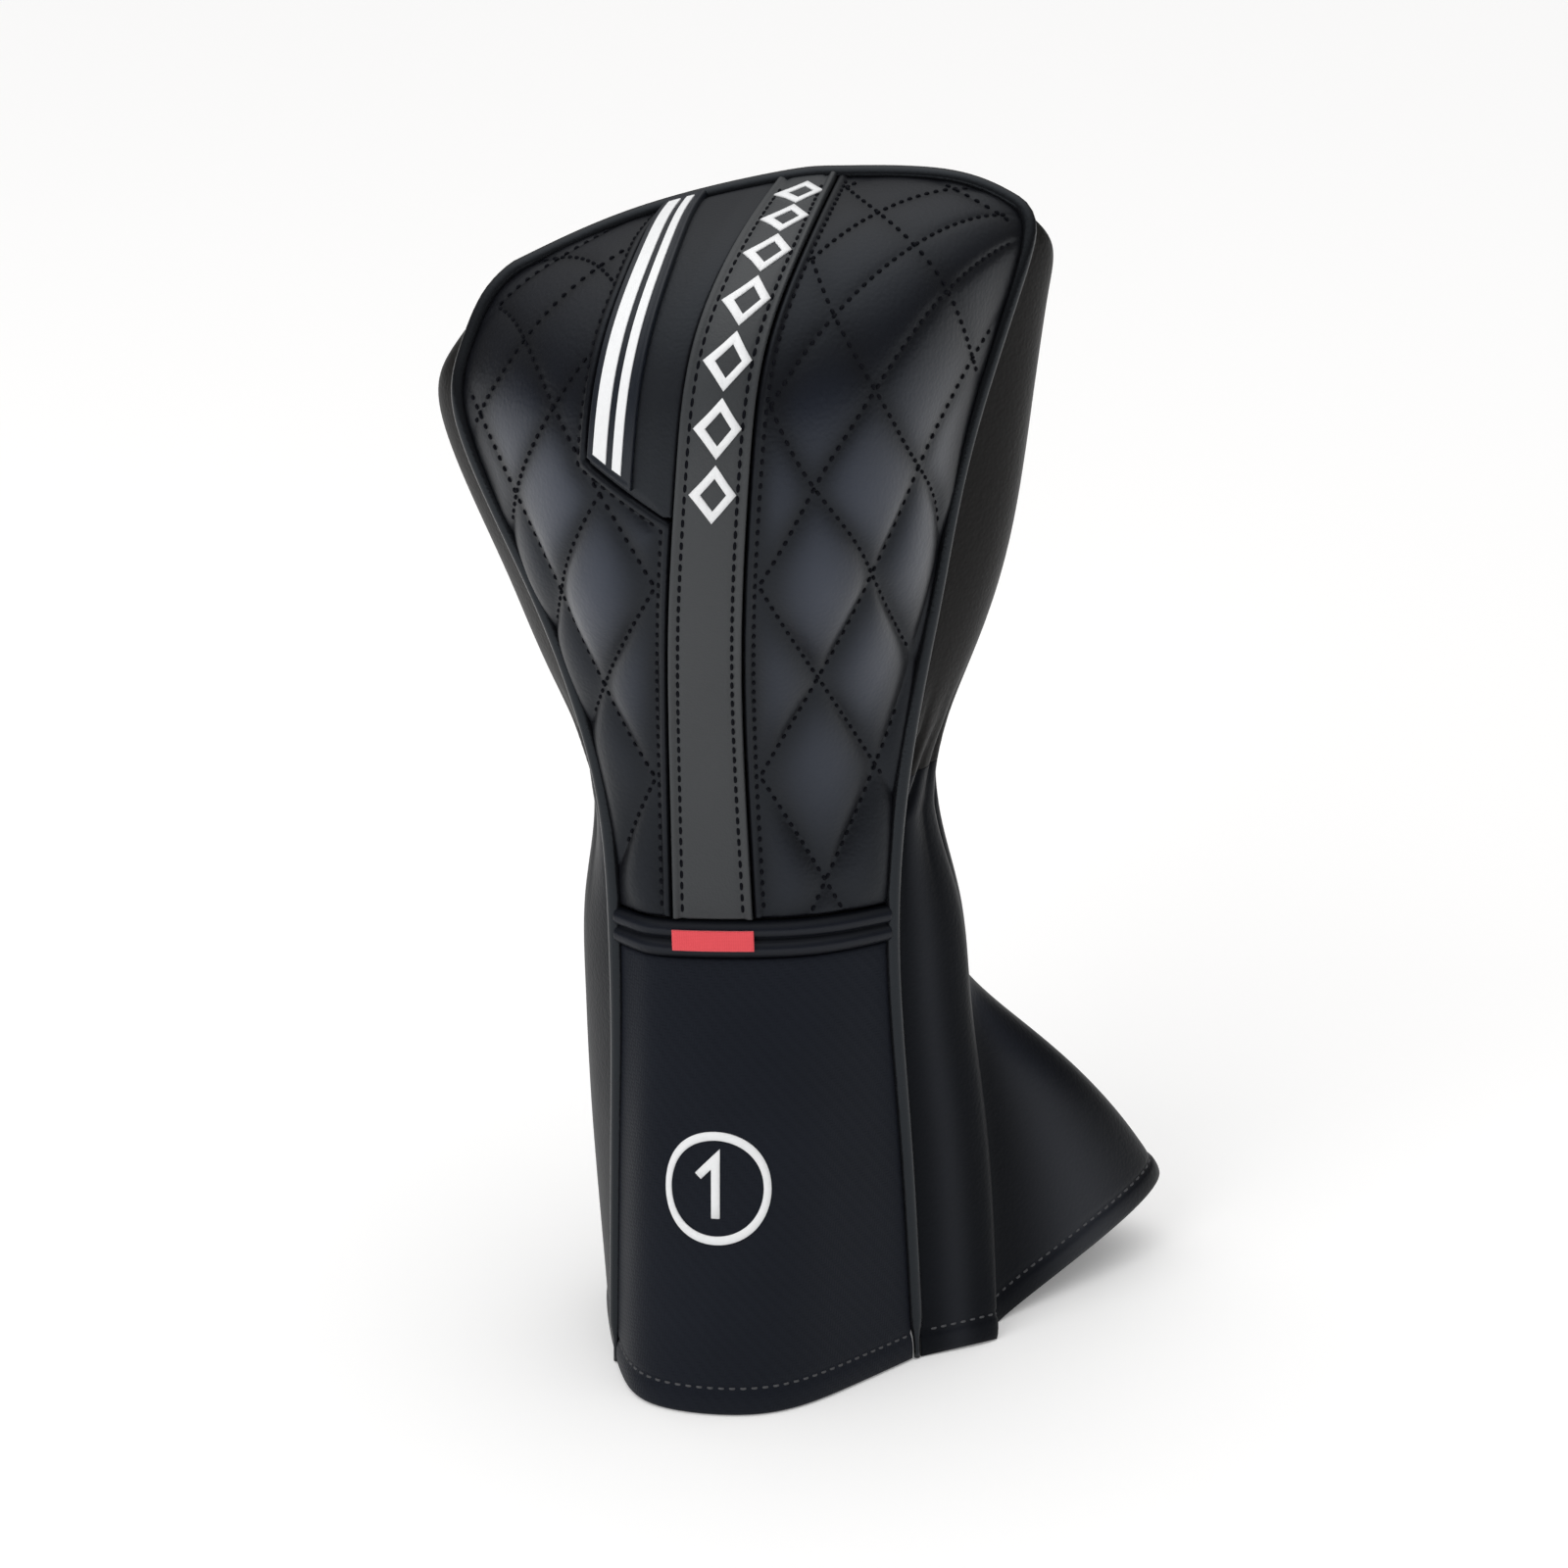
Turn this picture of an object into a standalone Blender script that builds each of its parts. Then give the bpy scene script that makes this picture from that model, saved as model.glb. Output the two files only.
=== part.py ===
"""Golf driver head cover: the leather panels, padding, linings and trims that it is sewn from.

The covering is lofted as two sheets, front and back, that meet along one piped seam. Every panel is a
patch of a sheet, closed between two depths below or above it. The front faces -Y and the hem lies on Z = 0.
"""
import bmesh
import bpy
import numpy as np

for old in list(bpy.data.objects):
    bpy.data.objects.remove(old, do_unlink=True)

MM = 0.001

# Height of each cross-section above the one below it, from the hem to the ridge, in metres
SHIN_RISE = 0.072
CALF_RISE = 0.031
WELT_RISE = 0.0285
NECK_RISE = 0.0405
JAW_RISE = 0.023
CHEEK_RISE = 0.027
BELLY_RISE = 0.046
BROW_RISE = 0.027
DOME_RISE = 0.019
RIDGE_RISE = 0.011

# Middle of the finished cover seen from above, in the frame of the section points
MIDDLE_X = 0.0104
MIDDLE_Y = 0.0178

# Leather, padding and lining, in metres
GAP = 0.0003
LAYER_GAP = 0.0009
LEATHER = 0.0014
FOAM = 0.0035
LINING = 0.0015
HEM_FOLD_HEIGHT = 0.009
HEM_FOLD_THICKNESS = 0.0026
HEM_FOLD_STEP = 0.0006
PIPING_RADIUS = 0.0021
PIPING_SIDES = 6
LAYER_INSET = 0.0065

# Quilting of the head
QUILT_CROWN = 0.0030
QUILT_SINK = 0.0004
QUILT_CHANNEL = 0.0035
QUILT_SHARPNESS = 1.2
QUILT_EDGE = 0.009
QUILT_FIRST_KNOT = 0.004
DOME_START = 0.066
DOME_FULL = 0.104
PAD_INSET = 0.003
DIAMOND_HALF_WIDTH = 0.0163
DIAMOND_HALF_HEIGHT = 0.0312
DOME_HALF_WIDTH = 0.0104
DOME_HALF_HEIGHT = 0.0208
DOME_SPREAD = 0.175
LEFT_DOME_HALF_WIDTH = 0.0166
LEFT_DOME_HALF_HEIGHT = 0.0255
LEFT_ROW_TILT = 0.25
KNOT_ABOVE_NECK = 0.0055

# Centre band, its marks and the blade-shaped patch beside it
BAND_FLAT = 0.0004
BAND_RIM = 0.0008
BAND_RIM_START = 0.6
BAND_RIM_FULL = 0.95
PATCH_REACH = 0.0245
PATCH_TOP_REACH = 0.030
PATCH_FLARE_START = 0.125
PATCH_FOOT_LOW = 0.0855
PATCH_FOOT_HIGH = 0.0997
EMBLEM_TIP = 0.0015
PATCH_WIDTH = 0.0125
PATCH_TOP_WIDTH = 0.0105
PATCH_MARGIN = 0.0012
PATCH_LIFT = 0.0024
PATCH_THICKNESS = 0.0009
STRIPE_MARGIN = 0.0022
OUTER_STRIPE = (0.14, 0.44)
INNER_STRIPE = (0.58, 0.78)
PRINT_THICKNESS = 0.0004
PRINT_GAP = 0.0005
LOZENGE_HALF_WIDTH = 0.0044
LOZENGE_HALF_LENGTH = 0.0060
LOZENGE_STROKE = 0.0020
LOZENGE_FIRST = 0.094
LOZENGE_PITCH = 0.0168
LOZENGE_CLEARANCE = 0.004

# Double-ribbed welt across the sleeve, with its tab, and the numbered badge below it
WELT_HEIGHT = 0.0102
WELT_RIB = 0.0018
TAB_WIDTH = 0.0228
TAB_HEIGHT = 0.0056
TAB_THICKNESS = 0.0007
BADGE_HEIGHT = 0.064
BADGE_RADIUS = 0.0158
BADGE_STROKE = 0.0024
NUMERAL_HEIGHT = 0.0165
NUMERAL_FLAG = 0.0048

# Neck elastic and the rear skirt, which swings on the cloth below the neck
ELASTIC_HEIGHT = 0.018
ELASTIC_THICKNESS = 0.0016
SWING_CLEARANCE = 0.28

# How finely curves are measured and drawn
TABLE_STEPS = 400
FOOT_STEPS = 8
BADGE_STEPS = 32
PIPING_SIDE_STEPS = 32
PIPING_RIDGE_STEPS = 16
SHARP_ANGLE = 50

# Panel seams, as shares of the way across each sheet
BAND_LEFT = 0.34
BAND_RIGHT = 0.52
SIDE_SEAM_RIGHT = 0.17
SIDE_SEAM_LEFT = 0.87
GUSSET_RIGHT = 0.33
GUSSET_LEFT = 0.80
REAR_MIDDLE = 0.62
FLAP_CORNER = 0.43
FRONT_COLUMNS = (0, 0.16, BAND_LEFT, BAND_RIGHT, 0.76, 1)
BACK_COLUMNS = (0, 0.12, 0.22, 0.37, 0.56, 0.73, 0.89, 1)

# Cross-sections from hem to ridge: rise over the section below, front points from the left seam to the right
# seam, then back points between the seams from right to left. A point is x, y and z in millimetres, with z
# measured from the section's own level.
SECTIONS = {
    "hem": (
        0,
        ((-47, -13, 0), (-42, -31, 0), (-29, -41.5, 0), (-7, -43.5, 0), (17, -29.5, 0), (37.5, -11, 0)),
        ((60.5, 0, 0), (61.5, 10, 0), (111.5, 59, 22.3), (36, 85, 4), (-26, 63, 0), (-50, 27, 0)),
    ),
    "shin": (
        SHIN_RISE,
        ((-45.7, -11, 0), (-40, -24, 0), (-29, -31, 0), (-7, -33, 0), (15, -23.5, 0), (33, -10, 0)),
        ((55.5, 4, 0), (54, 17, 2), (74.5, 39, 3), (28, 74, 2), (-26, 60, 0), (-55, 26, 0)),
    ),
    "calf": (
        CALF_RISE,
        ((-45.2, -10.7, 0), (-39, -20, 0), (-29, -25.3, 0), (-7, -26.7, 0), (14, -20.4, 0), (30.5, -9.6, 0)),
        ((51, 5, 0), (49.5, 18, 0), (48.5, 35, 0), (19, 62, 0), (-24, 56, 0), (-55.5, 23, 0)),
    ),
    "welt": (
        WELT_RISE,
        ((-45.5, -10, 0), (-39, -16.5, 0), (-29.5, -20.5, 0), (-8, -21.5, 0), (13, -17.5, 0), (29.3, -9, 0)),
        ((47.5, 6, 0), (46, 20, 0), (37, 35, 0), (12, 52, 0), (-22, 50, 0), (-54.5, 20, 0)),
    ),
    "neck": (
        NECK_RISE,
        ((-49, -7, 0), (-41, -15, 0), (-30, -20, 0), (-10, -21, 0), (12, -17, 0), (31.6, -7, 0)),
        ((40, 6, 0), (40.5, 17, 0), (34, 31, 0), (9, 43, 0), (-22, 42, 0), (-52, 18, 0)),
    ),
    "jaw": (
        JAW_RISE,
        ((-55, -5, 0), (-44.4, -18.8, 0), (-30, -26.6, 0), (-10.7, -27.6, 0), (13, -21.8, 0), (35, -5, 0)),
        ((47, 9.5, 0), (49.5, 22.5, 0), (41, 40, 0), (11.5, 52, 0), (-25, 50, 0), (-62.5, 21, 0)),
    ),
    "cheek": (
        CHEEK_RISE,
        ((-65, -2, 0), (-50, -25.5, 0), (-29.5, -37.5, 0), (-10.7, -38.5, 0), (16, -30, 0), (40, -2, 0)),
        ((56, 14, 0), (59, 29, 0), (47, 49, 0), (14, 60, 0), (-28, 57, 0), (-73.5, 24, 0)),
    ),
    "belly": (
        BELLY_RISE,
        ((-84, 5, 0), (-58, -31, 0), (-26.7, -47, 0), (-8.5, -48, 0), (24, -36, 0), (49.5, 4.5, 0)),
        ((64.5, 20, 0), (65.5, 35, 0), (50, 56, 0), (12, 66, 0), (-36, 62, 0), (-89.5, 27, 0)),
    ),
    "brow": (
        BROW_RISE,
        ((-82.5, 9.5, -10), (-56, -22, 0), (-22, -39.5, 4), (-3.8, -40, 4.5), (31, -26, 8), (60.3, 12.5, 7)),
        ((69.5, 25, 3), (68, 38, -1), (50, 56, -5), (11, 63.5, -6), (-35, 58, -8), (-83, 29, -10)),
    ),
    "dome": (
        DOME_RISE,
        ((-77.5, 13, -17.5), (-50, -4, -5), (-13, -18, 2.5), (5, -18, 4), (38, -5, 5), (63.6, 17, 0.5)),
        ((69.5, 27, -3), (65, 36, -5), (45, 48, -6), (10, 52.5, -7.5), (-30, 48, -11), (-70, 29, -15)),
    ),
    "ridge": (
        RIDGE_RISE,
        ((-70, 16, -20.5), (-38, 22, -7.5), (-1, 24, 1.5), (14, 24, 3), (42, 23, 2.3), (61, 20, -4.5)),
        ((52, 22, 0), (43, 23, 2.2), (24, 24, 3.4), (-4, 24, 1.2), (-29, 22.5, -5), (-53, 20, -13.5)),
    ),
}


def natural_spline(knots, values):
    """Natural cubic spline through values at knots, as a function of a one-dimensional array."""
    knots = np.asarray(knots, float)
    values = np.asarray(values, float)
    step = np.diff(knots)
    system = np.eye(len(knots))
    bends = np.zeros_like(values)
    for i in range(1, len(knots) - 1):
        system[i, i - 1:i + 2] = step[i - 1], 2 * (step[i - 1] + step[i]), step[i]
        bends[i] = 6 * ((values[i + 1] - values[i]) / step[i] - (values[i] - values[i - 1]) / step[i - 1])
    curl = np.linalg.solve(system, bends)

    def at(place):
        place = np.asarray(place, float)
        k = np.clip(np.searchsorted(knots, place, side="right") - 1, 0, len(knots) - 2)
        h = step[k][:, None]
        before = (knots[k + 1] - place)[:, None]
        after = (place - knots[k])[:, None]
        cubic = (curl[k] * before ** 3 + curl[k + 1] * after ** 3) / (6 * h)
        low = values[k] / h - curl[k] * h / 6
        high = values[k + 1] / h - curl[k + 1] * h / 6
        return cubic + low * before + high * after

    return at


class Sheet:
    """A smooth sheet through sections, across in u and up in v, both from 0 to 1."""

    STEP = 1e-4

    def __init__(self, sections, columns, heights):
        self.net = np.asarray(sections, float)
        self.across = natural_spline(columns, np.eye(len(columns)))
        self.upward = natural_spline(heights, np.eye(len(heights)))

    def at(self, u, v):
        u, v = np.broadcast_arrays(np.asarray(u, float), np.asarray(v, float))
        weights = self.upward(v.ravel())[:, :, None] * self.across(u.ravel())[:, None, :]
        return np.einsum("nij,ijk->nk", weights, self.net).reshape(u.shape + (3,))

    def slopes(self, u, v):
        across = (self.at(u + self.STEP, v) - self.at(u - self.STEP, v)) / (2 * self.STEP)
        upward = (self.at(u, v + self.STEP) - self.at(u, v - self.STEP)) / (2 * self.STEP)
        return across, upward

    def raised(self, u, v, depth):
        """Points of the sheet moved out along its normal by depth."""
        u, v = np.broadcast_arrays(np.asarray(u, float), np.asarray(v, float))
        normal = np.cross(*self.slopes(u, v))
        normal /= np.linalg.norm(normal, axis=-1, keepdims=True)
        return self.at(u, v) + normal * np.broadcast_to(depth, u.shape)[..., None]

    def across_by(self, u, v, length):
        """Share of u that a length across the sheet takes at (u, v)."""
        return length / np.linalg.norm(self.slopes(u, v)[0], axis=-1)

    def up_by(self, u, v, length):
        """Share of v that a length up the sheet takes at (u, v)."""
        return length / np.linalg.norm(self.slopes(u, v)[1], axis=-1)

    def u_at(self, start, v, distance):
        """The u that lies a distance across the sheet from start, at each v, towards u = 1 if positive."""
        fine = np.linspace(0, 1, TABLE_STEPS + 1)
        found = np.empty(len(v))
        for i, height in enumerate(v):
            points = self.at(fine, np.full_like(fine, height))
            length = np.concatenate([[0], np.cumsum(np.linalg.norm(np.diff(points, axis=0), axis=1))])
            goal = np.interp(start, fine, length) + distance[i]
            found[i] = np.interp(goal, length, fine)
        return found


def section_points():
    """Front and back nets of points in metres, with the back closed onto the two seams."""
    front = []
    back = []
    level = 0
    for rise, before, behind in SECTIONS.values():
        level += rise
        lift = np.array([-MIDDLE_X, -MIDDLE_Y, level])
        front.append(np.array(before) * MM + lift)
        back.append(np.array((before[-1],) + behind + (before[0],)) * MM + lift)
    return np.array(front), np.array(back)


FRONT_NET, BACK_NET = section_points()
RISES = np.linalg.norm(np.diff(FRONT_NET, axis=0), axis=-1).mean(axis=1)
HEIGHTS = np.concatenate([[0], np.cumsum(RISES)]) / RISES.sum()
V_OF = dict(zip(SECTIONS, HEIGHTS))
FRONT = Sheet(FRONT_NET, FRONT_COLUMNS, HEIGHTS)
BACK = Sheet(BACK_NET, BACK_COLUMNS, HEIGHTS)
BAND_MIDDLE = (BAND_LEFT + BAND_RIGHT) / 2


def band_table():
    """Lengths up the middle of the band, measured from the neck, for a fine row of heights."""
    v = np.linspace(0, 1, TABLE_STEPS + 1)
    points = FRONT.at(np.full_like(v, BAND_MIDDLE), v)
    length = np.concatenate([[0], np.cumsum(np.linalg.norm(np.diff(points, axis=0), axis=1))])
    return v, length - np.interp(V_OF["neck"], v, length)


BAND_V, BAND_LENGTH = band_table()


def v_above_neck(length):
    return np.interp(length, BAND_LENGTH, BAND_V)


def length_above_neck(v):
    return np.interp(v, BAND_V, BAND_LENGTH)


def v_at_height(sheet, u, height):
    """The v at which the sheet's line of constant u reaches a height above the hem."""
    v = np.linspace(0, V_OF["belly"], TABLE_STEPS + 1)
    return float(np.interp(height, sheet.at(np.full_like(v, u), v)[:, 2], v))


WELT_MIDDLE_V = V_OF["welt"]
WELT_HALF_V = float(FRONT.up_by(BAND_MIDDLE, WELT_MIDDLE_V, WELT_HEIGHT / 2))
WELT_LOW_V = WELT_MIDDLE_V - WELT_HALF_V
WELT_TOP_V = WELT_MIDDLE_V + WELT_HALF_V
SEAM_INSET = PIPING_RADIUS + 2 * GAP


def ridge_edge(sheet, inset):
    """Panel edge that keeps an inset from the ridge, square to the ridge, as a function of u."""
    def edge(u):
        across, upward = sheet.slopes(u, np.ones_like(u))
        speed = np.linalg.norm(np.cross(across, upward), axis=-1) / np.linalg.norm(across, axis=-1)
        return 1 - inset / speed
    return edge


def seam_edge(sheet, side, inset):
    """Panel edge that keeps an inset from the seam at u = side, square to the seam, as a function of v."""
    def edge(v):
        across, upward = sheet.slopes(np.full_like(v, side), v)
        speed = np.linalg.norm(np.cross(across, upward), axis=-1) / np.linalg.norm(upward, axis=-1)
        return side + (1 - 2 * side) * inset / speed
    return edge


def line_edge(sheet, u, offset):
    """Panel edge along a line of constant u, moved by an offset across the sheet."""
    return lambda v: u + sheet.across_by(np.full_like(v, u), v, offset)


COLOURS = {
    "quilt_leather": ((0.018, 0.019, 0.024), 0.42, 0.0),
    "band_leather": ((0.030, 0.031, 0.033), 0.45, 0.0),
    "sleeve_leather": ((0.012, 0.012, 0.015), 0.48, 0.0),
    "patch_rubber": ((0.012, 0.018, 0.028), 0.40, 0.0),
    "white_print": ((0.85, 0.86, 0.87), 0.45, 0.0),
    "red_tab_cloth": ((0.78, 0.075, 0.105), 0.60, 0.0),
    "piping_leather": ((0.010, 0.010, 0.012), 0.35, 0.0),
    "lining_fleece": ((0.035, 0.036, 0.040), 0.95, 0.0),
    "padding_foam": ((0.55, 0.54, 0.50), 0.90, 0.0),
    "elastic_webbing": ((0.020, 0.020, 0.022), 0.80, 0.0),
}


def finish(name):
    """The named material, made when a piece first asks for it."""
    material = bpy.data.materials.get(name)
    if material is None:
        colour, roughness, metallic = COLOURS[name]
        material = bpy.data.materials.new(name)
        material.use_nodes = True
        shader = material.node_tree.nodes["Principled BSDF"]
        shader.inputs["Base Color"].default_value = (*colour, 1)
        shader.inputs["Roughness"].default_value = roughness
        shader.inputs["Metallic"].default_value = metallic
        material.diffuse_color = (*colour, 1)
    return material


COVER = bpy.data.objects.new("cover_frame", None)
bpy.context.collection.objects.link(COVER)


def add_piece(name, points, faces, material, parent=COVER):
    """One named object from points and faces, with its faces turned outward and shaded smooth."""
    mesh = bpy.data.meshes.new(name)
    mesh.from_pydata([tuple(p) for p in points], [], faces)
    work = bmesh.new()
    work.from_mesh(mesh)
    bmesh.ops.recalc_face_normals(work, faces=work.faces)
    work.to_mesh(mesh)
    work.free()
    mesh.shade_smooth()
    mesh.set_sharp_from_angle(angle=np.radians(SHARP_ANGLE))
    mesh.materials.append(finish(material))
    piece = bpy.data.objects.new(name, mesh)
    bpy.context.collection.objects.link(piece)
    piece.parent = parent
    piece.matrix_parent_inverse = parent.matrix_world.inverted()
    return piece


def grid_faces(rows, columns, first=0):
    """Quads of a grid of points that is stored row by row."""
    faces = []
    for i in range(rows - 1):
        for j in range(columns - 1):
            a = first + i * columns + j
            faces.append((a, a + 1, a + columns + 1, a + columns))
    return faces


def valley_faces(depth):
    """Triangles of a grid, each quad cut along its deeper diagonal, so that sewn lines stay sharp."""
    rows, columns = depth.shape
    flat = depth.ravel()
    faces = []
    for a, b, c, d in grid_faces(rows, columns):
        if flat[a] + flat[c] < flat[b] + flat[d]:
            faces += [(a, b, c), (a, c, d)]
        else:
            faces += [(a, b, d), (b, c, d)]
    return faces


def rim_indices(rows, columns):
    """Indices round the edge of a grid, once, without repeats."""
    bottom = list(range(columns))
    right = [i * columns + columns - 1 for i in range(1, rows)]
    top = [(rows - 1) * columns + j for j in range(columns - 2, -1, -1)]
    left = [i * columns for i in range(rows - 2, 0, -1)]
    return bottom + right + top + left


def row_places(counts, stops):
    """Places up a panel, with a count of even steps between each stop and the next."""
    runs = [np.linspace(a, b, n, endpoint=False) for a, b, n in zip(stops, stops[1:], counts)]
    return np.append(np.concatenate(runs), stops[-1])


def end_row(end, low_u, high_u, s):
    """The v of a panel's end at shares s of its width, where end is a number or a function of u."""
    if not callable(end):
        return np.full_like(s, end)
    v = end(s)
    for _ in range(3):
        v = end(low_u(v) * (1 - s) + high_u(v) * s)
    return v


def layer(name, sheet, low_u, high_u, low_v, high_v, size, inner, outer, material,
          breaks=(), coarse=1, parent=COVER):
    """A closed patch of a sheet between two depths.

    low_u and high_u are functions of v, and low_v and high_v are numbers or functions of u.
    size is the number of columns of cells, then of rows in each stretch between the breaks, which are
    places in v. The inner face has every cell of coarse by coarse joined into one. Depths are numbers or
    functions of u and v. The hem row is cut level.
    """
    columns, *counts = size
    rows = sum(counts)
    s = np.linspace(0, 1, columns + 1)
    bottom = end_row(low_v, low_u, high_u, s)
    top = end_row(high_v, low_u, high_u, s)
    v = np.stack([row_places(counts, [low, *breaks, high]) for low, high in zip(bottom, top)], axis=1)
    low_line = low_u(v.ravel()).reshape(v.shape)
    high_line = high_u(v.ravel()).reshape(v.shape)
    u = low_line * (1 - s) + high_line * s
    keep = np.ix_(range(0, rows + 1, coarse), range(0, columns + 1, coarse))
    outer_depth = outer(u, v) if callable(outer) else np.full_like(u, outer)
    inner_depth = inner(u, v) if callable(inner) else np.full_like(u, inner)
    points = []
    for place_u, place_v, depth in ((u, v, outer_depth), (u[keep], v[keep], inner_depth[keep])):
        face = sheet.raised(place_u, place_v, depth)
        hem = place_v <= 0
        face[hem, 2] = np.maximum(sheet.at(place_u, place_v)[hem, 2], 0)
        points.append(face.reshape(-1, 3))
    fine_rim = rim_indices(rows + 1, columns + 1)
    start = len(points[0])
    coarse_rim = [start + i for i in rim_indices(rows // coarse + 1, columns // coarse + 1)]
    faces = valley_faces(outer_depth)
    faces += [tuple(reversed(f)) for f in grid_faces(rows // coarse + 1, columns // coarse + 1, start)]
    for i, corner in enumerate(coarse_rim):
        following = coarse_rim[(i + 1) % len(coarse_rim)]
        run = [fine_rim[(i * coarse + k) % len(fine_rim)] for k in range(coarse + 1)]
        if coarse == 1:
            faces.append((run[0], corner, following, run[1]))
        else:
            half = coarse // 2
            faces += [(run[k + 1], run[k], corner) for k in range(half)]
            faces.append((run[half], corner, following))
            faces += [(run[k + 1], run[k], following) for k in range(half, coarse)]
    return add_piece(name, np.concatenate(points), faces, material, parent)


def ribbon_points(path, width, closed):
    """Left and right edges of a flat ribbon along a path, mitred at its corners."""
    path = np.asarray(path, float)
    ahead = np.roll(path, -1, axis=0) - path
    behind = path - np.roll(path, 1, axis=0)
    if not closed:
        ahead[-1] = behind[-1]
        behind[0] = ahead[0]
    ahead /= np.linalg.norm(ahead, axis=1, keepdims=True)
    behind /= np.linalg.norm(behind, axis=1, keepdims=True)
    mitre = ahead + behind
    mitre /= np.linalg.norm(mitre, axis=1, keepdims=True)
    reach = width / 2 / np.sum(mitre * ahead, axis=1, keepdims=True)
    side = np.stack([-mitre[:, 1], mitre[:, 0]], axis=1) * reach
    return path + side, path - side


def printed_mark(name, sheet, centre, path, width, base, closed):
    """A thin printed ribbon laid on a sheet, with its path in lengths across and up from its centre."""
    u0, v0 = centre
    points = []
    depths = (0, 0, PRINT_THICKNESS, PRINT_THICKNESS)
    for edge, depth in zip(ribbon_points(path, width, closed) * 2, depths):
        u = u0 + sheet.across_by(u0, v0, edge[:, 0])
        v = v0 + sheet.up_by(u0, v0, edge[:, 1])
        points.append(sheet.raised(u, v, base + PRINT_GAP + depth))
    count = len(path)
    order = (0, 1, 3, 2)
    faces = []
    for i in range(count if closed else count - 1):
        k = (i + 1) % count
        for a, b in zip(order, order[1:] + order[:1]):
            faces.append((a * count + i, b * count + i, b * count + k, a * count + k))
    if not closed:
        faces += [tuple(a * count + i for a in order) for i in (0, count - 1)]
    return add_piece(name, np.concatenate(points), faces, "white_print")


# Quilted head panels

def easing(value, low, high):
    """Smooth step from 0 at low to 1 at high."""
    t = np.clip((value - low) / (high - low), 0, 1)
    return t * t * (3 - 2 * t)


def distance_across(u, v, other):
    """Length across the front sheet between u and other, taken in two straight halves."""
    middle = FRONT.at((u + other) / 2, v)
    there = FRONT.at(np.full_like(u, other), v)
    return np.linalg.norm(FRONT.at(u, v) - middle, axis=-1) + np.linalg.norm(there - middle, axis=-1)


def quilt_depth(edge_u, seam_u, half_width, half_height, spread, tilt):
    """Depth of a quilted panel: pillows between two families of slanting sewn lines, drawn in at its edges.

    The lines cross at knots counted from the band edge and from the neck. Diamonds shrink over the dome to
    half_width and half_height, each column there is wider than the last by a share spread, and the rows of
    knots climb by tilt on their way to the band.
    """
    lengths = np.linspace(BAND_LENGTH[0], BAND_LENGTH[-1] + DIAMOND_HALF_HEIGHT, TABLE_STEPS + 1)
    shrink = easing(lengths, DOME_START, DOME_FULL)
    row_step = DIAMOND_HALF_HEIGHT * (1 - shrink) + half_height * shrink
    rows = np.concatenate([[0], np.cumsum(np.diff(lengths) / row_step[1:])])
    rows -= np.interp(KNOT_ABOVE_NECK, lengths, rows)

    def depth(u, v):
        away = distance_across(u, v, edge_u)
        up = length_above_neck(v) + tilt * away
        shrink_here = easing(up, DOME_START, DOME_FULL)
        step = DIAMOND_HALF_WIDTH * (1 - shrink_here) + half_width * shrink_here
        even_column = (away - QUILT_FIRST_KNOT) / step
        column = 2 * even_column / (1 + np.sqrt(1 + 4 * spread * shrink_here * even_column))
        row = np.interp(up, lengths, rows)
        line_spacing = 2 * step * half_height / np.hypot(step, half_height)
        pillow = np.ones_like(u)
        for family in (column + row, column - row):
            off = np.abs(family / 2 - np.round(family / 2)) * line_spacing
            pillow *= 1 - np.exp(-(off / QUILT_CHANNEL) ** QUILT_SHARPNESS)
        to_edge = np.minimum(away, distance_across(u, v, seam_u))
        to_edge = np.minimum(to_edge, BAND_LENGTH[-1] - length_above_neck(v))
        drawn_in = easing(to_edge, 0, QUILT_EDGE)
        return QUILT_CROWN * pillow * drawn_in - QUILT_SINK

    return depth


def patch_reach(up):
    """Distance from the band to the outer edge of the patch, at a length above the neck."""
    return PATCH_REACH + (PATCH_TOP_REACH - PATCH_REACH) * easing(up, PATCH_FLARE_START, BAND_LENGTH[-1])


def emblem_edge(offset):
    """Edge of the left quilt: up the band, out along the foot of the emblem panel, up beside the patch."""
    def edge(v):
        up = length_above_neck(v)
        foot = np.clip((up - PATCH_FOOT_LOW) / (PATCH_FOOT_HIGH - PATCH_FOOT_LOW), 0, 1)
        return FRONT.u_at(BAND_LEFT, v, -foot * patch_reach(up) - offset)
    return edge


FOOT_BREAKS = (float(v_above_neck(PATCH_FOOT_LOW)), float(v_above_neck(PATCH_FOOT_HIGH)))
HEAD_START = WELT_TOP_V + float(FRONT.up_by(BAND_MIDDLE, WELT_TOP_V, GAP))
SKIN_TOP = ridge_edge(FRONT, SEAM_INSET)
UNDER_SKIN = LEATHER + LAYER_GAP
UNDER_FOAM = UNDER_SKIN + FOAM + LAYER_GAP


def build_quilts():
    right = quilt_depth(BAND_RIGHT, 1, DOME_HALF_WIDTH, DOME_HALF_HEIGHT, DOME_SPREAD, 0)
    layer("quilt_right", FRONT, line_edge(FRONT, BAND_RIGHT, GAP), seam_edge(FRONT, 1, SEAM_INSET),
          HEAD_START, SKIN_TOP, (22, 40), -LEATHER, right, "quilt_leather", coarse=2)
    left = quilt_depth(BAND_LEFT, 0, LEFT_DOME_HALF_WIDTH, LEFT_DOME_HALF_HEIGHT, 0, LEFT_ROW_TILT)
    layer("quilt_left", FRONT, seam_edge(FRONT, 0, SEAM_INSET), emblem_edge(GAP),
          HEAD_START, SKIN_TOP, (18, 20, 4, 16), -LEATHER, left, "quilt_leather",
          breaks=FOOT_BREAKS, coarse=2)


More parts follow.
